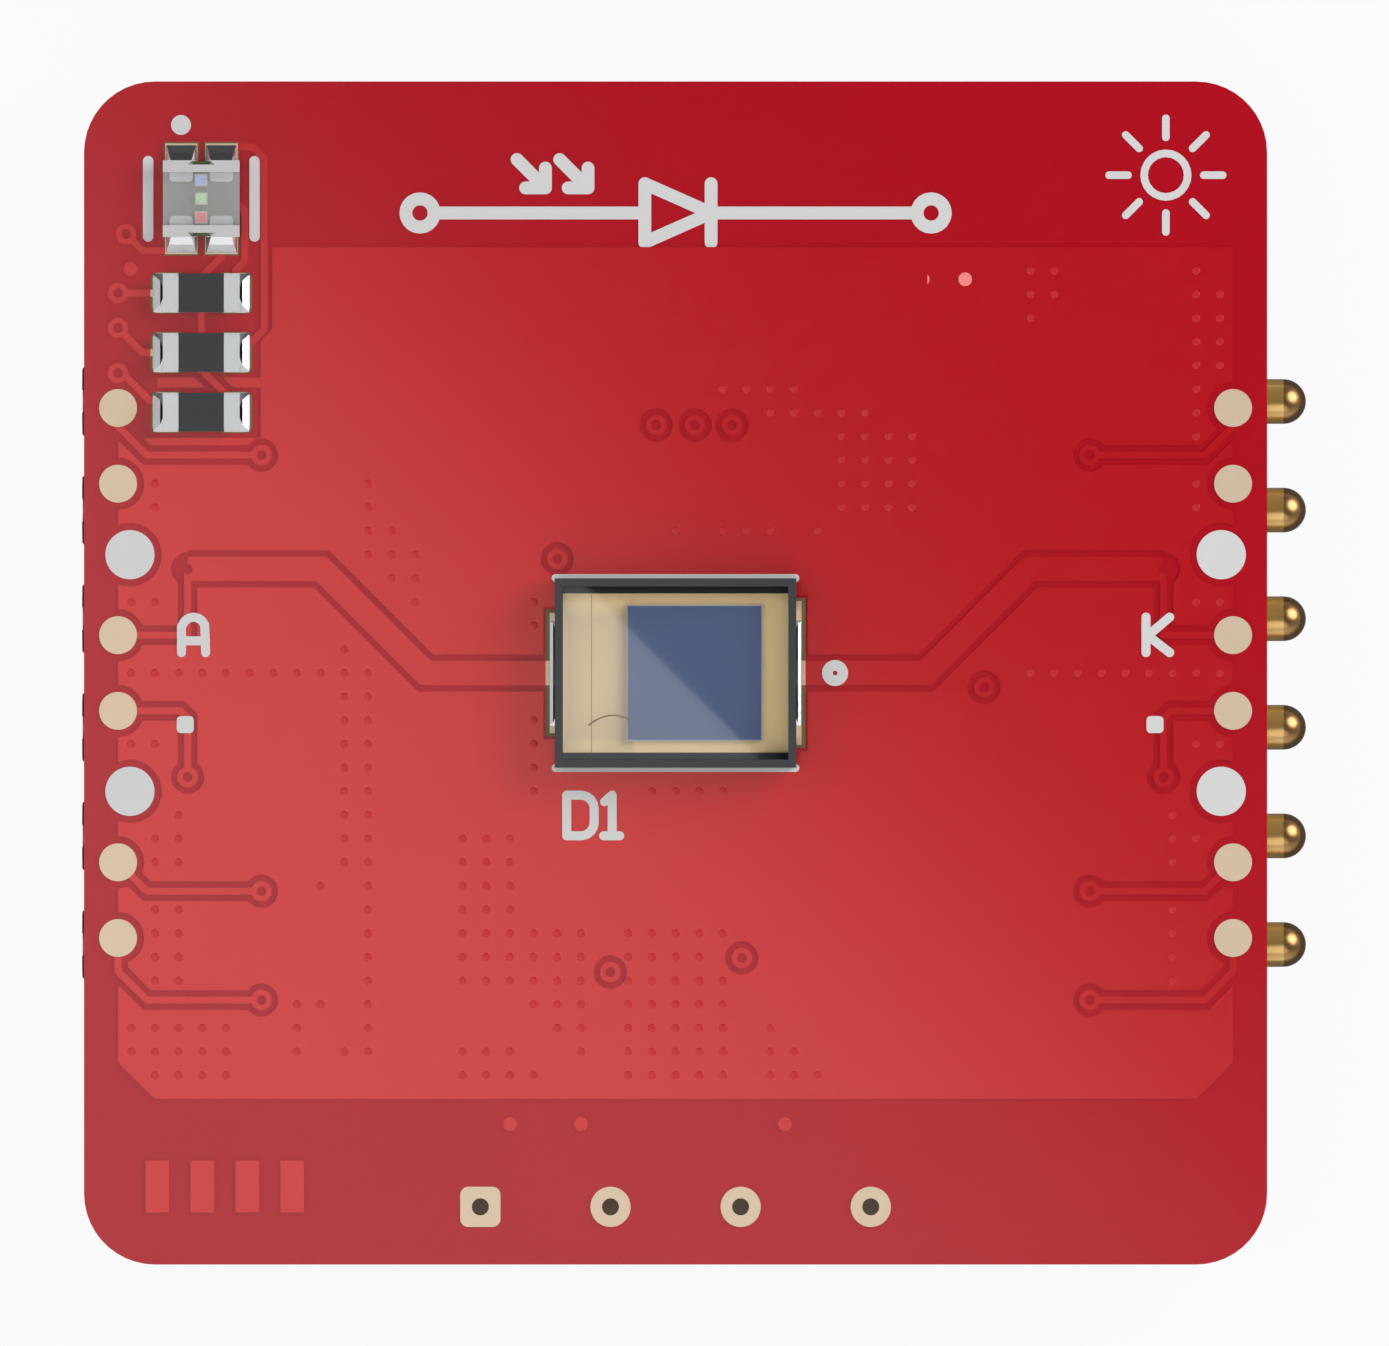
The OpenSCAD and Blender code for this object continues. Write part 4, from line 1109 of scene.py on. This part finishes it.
def islands(mesh: bpy.types.Mesh) -> list[tuple[Vector, Vector]]:
    """Find the boxes of a mesh's separate pieces.

    Args:
        mesh: The mesh, which may be loose triangles.

    Returns:
        The lowest and highest corner of each piece.
    """
    form = welded(mesh)
    boxes: list[tuple[Vector, Vector]] = []
    waiting = set(form.verts)
    while waiting:
        edge = [waiting.pop()]
        low, high = edge[0].co.copy(), edge[0].co.copy()
        while edge:
            vert = edge.pop()
            for axis in range(3):
                low[axis] = min(low[axis], vert.co[axis])
                high[axis] = max(high[axis], vert.co[axis])
            fresh = {link.other_vert(vert) for link in vert.link_edges} & waiting
            waiting -= fresh
            edge.extend(fresh)
        boxes.append((low, high))
    form.free()
    return sorted(boxes, key=lambda box: tuple(box[0]))


@dataclass
class MaskOpenings:
    """The bare laminate that shows round the solder lands, where the mask keeps clear of them."""

    thickness: float = 0.008
    corner_sides: int = 6
    least_corner: float = 0.001
    # Opening's margin along X and Y, and its corner radius, round each kind of land
    kinds: tuple[tuple[str, Point, float], ...] = (
        ("resistor_lands", (0.045, 0.02), 0.14),
        ("led_lands", (0.03, 0.03), 0.02),
        ("photodiode_lands", (0.085, 0.065), 0.02),
    )

    def _outline(self, low: Vector, high: Vector, margin: Point, corner: float) -> list[Point]:
        """Draw a round-cornered outline round a land.

        Args:
            low: The lowest corner of the land's box, in metres.
            high: Its highest corner, in metres.
            margin: How far the outline keeps from the box along X and Y.
            corner: The outline's corner radius.

        Returns:
            The outline.
        """
        points: list[Point] = []
        for x_way, y_way, start in ((1, 1, 0), (-1, 1, 90), (-1, -1, 180), (1, -1, 270)):
            centre = (
                (high.x if x_way > 0 else low.x) / MM + x_way * (margin[0] - corner),
                (high.y if y_way > 0 else low.y) / MM + y_way * (margin[1] - corner),
            )
            points += arc(centre, corner, start, start + 90, self.corner_sides)
        return points

    def build(self, dresser: Dresser) -> None:
        """Lay a ring round every solder land on the top.

        Args:
            dresser: Holds the finishes.
        """
        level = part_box("circuit_board")[1].z
        form = bmesh.new()
        for node, margin, corner in self.kinds:
            for low, high in islands(dresser.frame["nodes"][node].data):
                inner_corner = max(corner - max(margin), self.least_corner)
                inner = self._outline(low, high, (0.0, 0.0), inner_corner)
                outer = self._outline(low, high, margin, corner)
                add_ring(form, outer, inner, level, self.thickness)
        mesh = as_mesh(form, "mask_openings")
        new_piece("mask_openings", mesh, dresser.materials["bare_laminate"])


@dataclass
class BareSpots:
    """Small spots on the copper: bare tabs where traces enter the openings round lands, and two bright dots
    of painted highlight.
    """

    thickness: float = 0.004
    # Length and width of the tabs at the photodiode and at the first two resistors
    sensor_tab: Point = (0.085, 0.52)
    chip_tab: Point = (0.045, 0.15)
    dot_radius: float = 0.145
    dot_sides: int = 24
    # Centres of a whole dot and of part of one, both painted highlights
    painted_highlight_dot: Point = (6.12, 8.32)
    half_open_dot: Point = (5.22, 8.32)
    half_open_span: Point = (-45.0, 45.0)

    @staticmethod
    def _tab(land: tuple[Vector, Vector], size: Point) -> list[Point]:
        """Return the outline of a tab at the end of a land that faces away from the other land.

        Args:
            land: The land's lowest and highest corner, in metres.
            size: The tab's length and width.

        Returns:
            The outline.
        """
        low, high = land[0] / MM, land[1] / MM
        middle = (low.y + high.y) / 2
        near, far = (low.x - size[0], low.x) if low.x < 0 else (high.x, high.x + size[0])
        bottom, top = middle - size[1] / 2, middle + size[1] / 2
        return rectangle(near, bottom, far, top)

    def build(self, dresser: Dresser) -> None:
        """Lay the tabs and the painted highlight dots on the copper.

        Args:
            dresser: Holds the finishes.
        """
        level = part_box("copper_traces")[1].z
        nodes = dresser.frame["nodes"]
        tabs = [self._tab(land, self.sensor_tab) for land in islands(nodes["photodiode_lands"].data)]
        left_lands = islands(nodes["resistor_lands"].data)[:CHIP_COUNT]
        upper_lands = sorted(left_lands, key=lambda land: land[0].y)[1:]
        tabs += [self._tab(land, self.chip_tab) for land in upper_lands]
        dots = [
            arc(self.painted_highlight_dot, self.dot_radius, 0, 360 - 360 / self.dot_sides, self.dot_sides - 1),
            arc(self.half_open_dot, self.dot_radius, *self.half_open_span, self.dot_sides // 3),
        ]
        for name, outlines, finish, slot in (
            ("land_tabs", tabs, "board_gold", "gold_plating"),
            ("painted_highlight_dots", dots, "painted_highlight_dot", "red_mask_on_copper"),
        ):
            form = bmesh.new()
            for outline in outlines:
                add_plate(form, outline, level, self.thickness)
            new_piece(name, as_mesh(form, name), dresser.materials[finish])


@dataclass
class LightResin:
    """The indicator light's clear resin, left hollow so that its dies and wires show through it."""

    clearance: float = 0.003
    wall: float = 0.02
    roof: float = 0.06

    def build(self, dresser: Dresser) -> None:
        """Make the resin's walls and roof in place of its solid.

        Args:
            dresser: Holds the finishes.
        """
        low, high = (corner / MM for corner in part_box("led_lens"))
        outlines = []
        for inset in (self.clearance, self.clearance + self.wall):
            outlines.append(rectangle(low.x + inset, low.y + inset, high.x - inset, high.y - inset))
        foot = low.z + self.clearance
        form = bmesh.new()
        add_ring(form, *outlines, foot * MM, high.z - self.roof - foot)
        add_plate(form, outlines[0], (high.z - self.roof) * MM, self.roof)
        mesh = as_mesh(form, "light_resin")
        piece = new_piece("light_resin", mesh, dresser.materials["light_resin"])
        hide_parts("led_lens")


@dataclass
class Springs:
    """The six coil springs, kept at the length of their solids."""

    def build(self, dresser: Dresser) -> None:
        """Make each spring from a smooth copy of its solid, riding with the board.

        Args:
            dresser: Holds the finishes.
        """
        for n in range(1, PIN_COUNT + 1):
            node = f"spring_{n}"
            mesh = dresser.frame["nodes"][node].data.copy()
            form = welded(mesh)
            for face in form.faces:
                face.smooth = True
            form.to_mesh(mesh)
            form.free()
            mesh.materials.clear()
            piece = new_piece(f"coil_{n}", mesh, dresser.materials["spring_steel"])
            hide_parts(node)
            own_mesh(piece)


@dataclass
class Studio:
    """A white floor, a low panel over the lower left, a round lamp at the right and the camera overhead."""

    camera_x: float = 0.4
    camera_height: float = 1250.0
    clip_start: float = 1.0
    frame_width: float = 29.35
    sensor: float = 36.0
    panel_height: float = 65.0
    panel_edge: float = -0.07
    panel_depth: float = 45.0
    panel_length: float = 160.0
    panel_radiance: float = 1.2
    lamp_place: tuple[float, float, float] = (84.0, 43.0, 57.0)
    lamp_radius: float = 44.0
    lamp_radiance: float = 4.5
    floor_size: float = 4000.0
    floor_white: float = 0.93
    floor_grey: Colour = (203, 203, 203)
    # Painted shade: the floor's darker colour in the board's shade, which the board's holes show.
    floor_shaded: Colour = (152, 139, 122)
    floor_mirrored: float = 0.12
    shade_half: Point = (9.8, 11.6)
    shade_fade: float = 0.05
    sky_level: float = 1.5
    # Places from -1 to 1 along the board's rising diagonal and along Z, each with the sky's share of light
    sky_across: tuple[Point, ...] = ((-1.0, 1.0), (0.0, 0.5), (0.5, 0.13), (1.0, 0.08))
    sky_rise: tuple[Point, ...] = ((0.0, 1.0), (0.45, 0.8), (0.75, 0.12), (1.0, 0.05))
    sky_horizon: tuple[Point, ...] = ((0.05, 1.0), (0.12, 0.0))

    def build(self, kit: ShaderKit) -> None:
        """Set up the camera, lights, floor and surroundings.

        Args:
            kit: The shared node groups.
        """
        bpy.context.scene.view_settings.view_transform = "Standard"
        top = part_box("circuit_board")[1].z
        self._camera(top)
        self._panel(top)
        self._lamp(top)
        self._floor(kit)
        self._surroundings()

    def _camera(self, top: float) -> None:
        """Hang the camera straight above the board.

        Args:
            top: Height of the board's upper face, in metres.
        """
        data = bpy.data.cameras.new("camera")
        data.sensor_width = self.sensor
        data.lens = self.sensor * self.camera_height / self.frame_width
        data.clip_start = self.clip_start * MM
        camera = bpy.data.objects.new("camera", data)
        camera.location = (self.camera_x * MM, 0, top + self.camera_height * MM)
        bpy.context.scene.collection.objects.link(camera)
        bpy.context.scene.camera = camera

    @staticmethod
    def _light(name: str, data: bpy.types.AreaLight, place: Matrix) -> None:
        """Add an area light that the camera doesn't see.

        Args:
            name: Its name.
            data: Its settings.
            place: Where it stands and how it turns.
        """
        light = bpy.data.objects.new(name, data)
        light.matrix_world = place
        light.visible_camera = False
        bpy.context.scene.collection.objects.link(light)

    def _panel(self, top: float) -> None:
        """Hang the big panel, its near edge along the board's falling diagonal.

        Args:
            top: Height of the board's upper face, in metres.
        """
        data = bpy.data.lights.new("panel", "AREA")
        data.shape = "RECTANGLE"
        data.size = self.panel_depth * MM
        data.size_y = self.panel_length * MM
        data.energy = self.panel_radiance * math.pi * data.size * data.size_y
        reach = self.panel_edge / math.sqrt(2) - self.panel_depth / 2
        along = reach / math.sqrt(2) * MM
        place = Matrix.Translation((along, along, top + self.panel_height * MM))
        self._light("panel", data, place @ Matrix.Rotation(math.radians(45), 4, "Z"))

    def _lamp(self, top: float) -> None:
        """Stand the round lamp off to the right, facing the board.

        Args:
            top: Height of the board's upper face, in metres.
        """
        data = bpy.data.lights.new("lamp", "AREA")
        data.shape = "DISK"
        data.size = 2 * self.lamp_radius * MM
        data.energy = self.lamp_radiance * math.pi * math.pi * (self.lamp_radius * MM) ** 2
        away = Vector(self.lamp_place) * MM
        place = Matrix.Translation(away + Vector((0, 0, top)))
        self._light("lamp", data, place @ away.to_track_quat("Z", "Y").to_matrix().to_4x4())

    def _floor(self, kit: ShaderKit) -> None:
        """Lay a white floor that keeps the shadow and isn't seen from below.

        Args:
            kit: The shared node groups.
        """
        half = self.floor_size / 2 * MM
        mesh = bpy.data.meshes.new("floor")
        corners = [(x, y, 0) for x, y in rectangle(-half, -half, half, half)]
        mesh.from_pydata(corners, [], [(0, 1, 2, 3)])
        floor = bpy.data.objects.new("floor", mesh)
        bpy.context.scene.collection.objects.link(floor)
        mesh.materials.append(self._floor_material(kit))

    def _floor_material(self, kit: ShaderKit) -> bpy.types.Material:
        """Make the floor's material: white to the eye outside the board's own shade, painted darker inside
        it, and clear from below.

        Args:
            kit: The shared node groups.

        Returns:
            The material.
        """
        material, tree, shader = new_material("floor_white")
        rays = tree.nodes.new("ShaderNodeLightPath").outputs
        mirrored = joined(tree, "MAXIMUM", rays["Is Glossy Ray"], rays["Is Transmission Ray"])
        dimmed = joined(tree, "MULTIPLY", mirrored, self.floor_mirrored - 1.0)
        glow = made(tree, "ShaderNodeEmission", {"Strength": joined(tree, "ADD", dimmed, 1.0)})
        straight = joined(tree, "MULTIPLY", rays["Is Camera Ray"], self.floor_white)
        seen = joined(tree, "MAXIMUM", straight, mirrored)
        place = tree.nodes.new("ShaderNodeTexCoord").outputs["Object"]
        lit = kit.outside_box(tree, place, (0.0, 0.0), self.shade_half, self.shade_fade)
        # Painted shade: a darker floor colour inside the box under the board.
        values = {
            "Base Color": blended(tree, lit, self.floor_shaded, self.floor_grey),
            "Roughness": Sheen.DULL.value,
            "Specular IOR Level": 0.0,
        }
        feed(tree, shader, values)
        share = joined(tree, "MULTIPLY", seen, lit)
        front = shader_mix(tree, share, shader.outputs["BSDF"], glow.outputs["Emission"])
        clear = tree.nodes.new("ShaderNodeBsdfTransparent").outputs["BSDF"]
        below = tree.nodes.new("ShaderNodeNewGeometry").outputs["Backfacing"]
        feed(tree, tree.nodes["Material Output"], {"Surface": shader_mix(tree, below, front, clear)})
        return material

    def _surroundings(self) -> None:
        """Set the sky: white along the horizon, bright at the lower left, dim overhead and beyond."""
        world = bpy.data.worlds.new("studio")
        world.use_nodes = True
        bpy.context.scene.world = world
        tree = world.node_tree
        place = tree.nodes.new("ShaderNodeTexCoord").outputs["Generated"]
        height = coordinate(tree, place, "Z")
        diagonal = Vector((math.sqrt(0.5), math.sqrt(0.5), 0))
        across = made(tree, "ShaderNodeVectorMath", {0: place, 1: diagonal}, operation="DOT_PRODUCT")
        side = self._ramp(tree, across.outputs["Value"], self.sky_across)
        rise = self._ramp(tree, height, self.sky_rise)
        body = joined(tree, "MULTIPLY", joined(tree, "MULTIPLY", side, rise), self.sky_level)
        horizon = self._ramp(tree, height, self.sky_horizon)
        feed(tree, tree.nodes["Background"], {"Color": joined(tree, "MAXIMUM", body, horizon)})

    @staticmethod
    def _ramp(tree: Tree, value: Socket, stops: Sequence[Point]) -> Socket:
        """Follow a line of straight stretches.

        Args:
            tree: The nodes to build in.
            value: The value to look up.
            stops: Places from -1 to 1 in order, each with its result.

        Returns:
            The socket of the result.
        """
        spread = made(tree, "ShaderNodeMapRange", {"Value": value, "From Min": -1.0})
        ramp = tree.nodes.new("ShaderNodeValToRGB")
        while len(ramp.color_ramp.elements) < len(stops):
            ramp.color_ramp.elements.new(0.5)
        for element, (place, result) in zip(ramp.color_ramp.elements, stops):
            element.position = (place + 1) / 2
            element.color = (result, result, result, 1)
        feed(tree, ramp, {"Fac": spread.outputs["Result"]})
        return ramp.outputs["Color"]


def main() -> None:
    """Load the solids, dress them, add the fine pieces and set up the studio."""
    logging.basicConfig(level=logging.INFO, format="%(name)s: %(message)s")
    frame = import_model()
    dresser = Dresser(frame, ShaderKit())
    dresser.dress()
    StitchingVias().build(dresser)
    MaskOpenings().build(dresser)
    BareSpots().build(dresser)
    LightResin().build(dresser)
    PrintedSigns().build(dresser)
    Springs().build(dresser)
    Studio().build(dresser.kit)


if __name__ == "__main__":
    main()
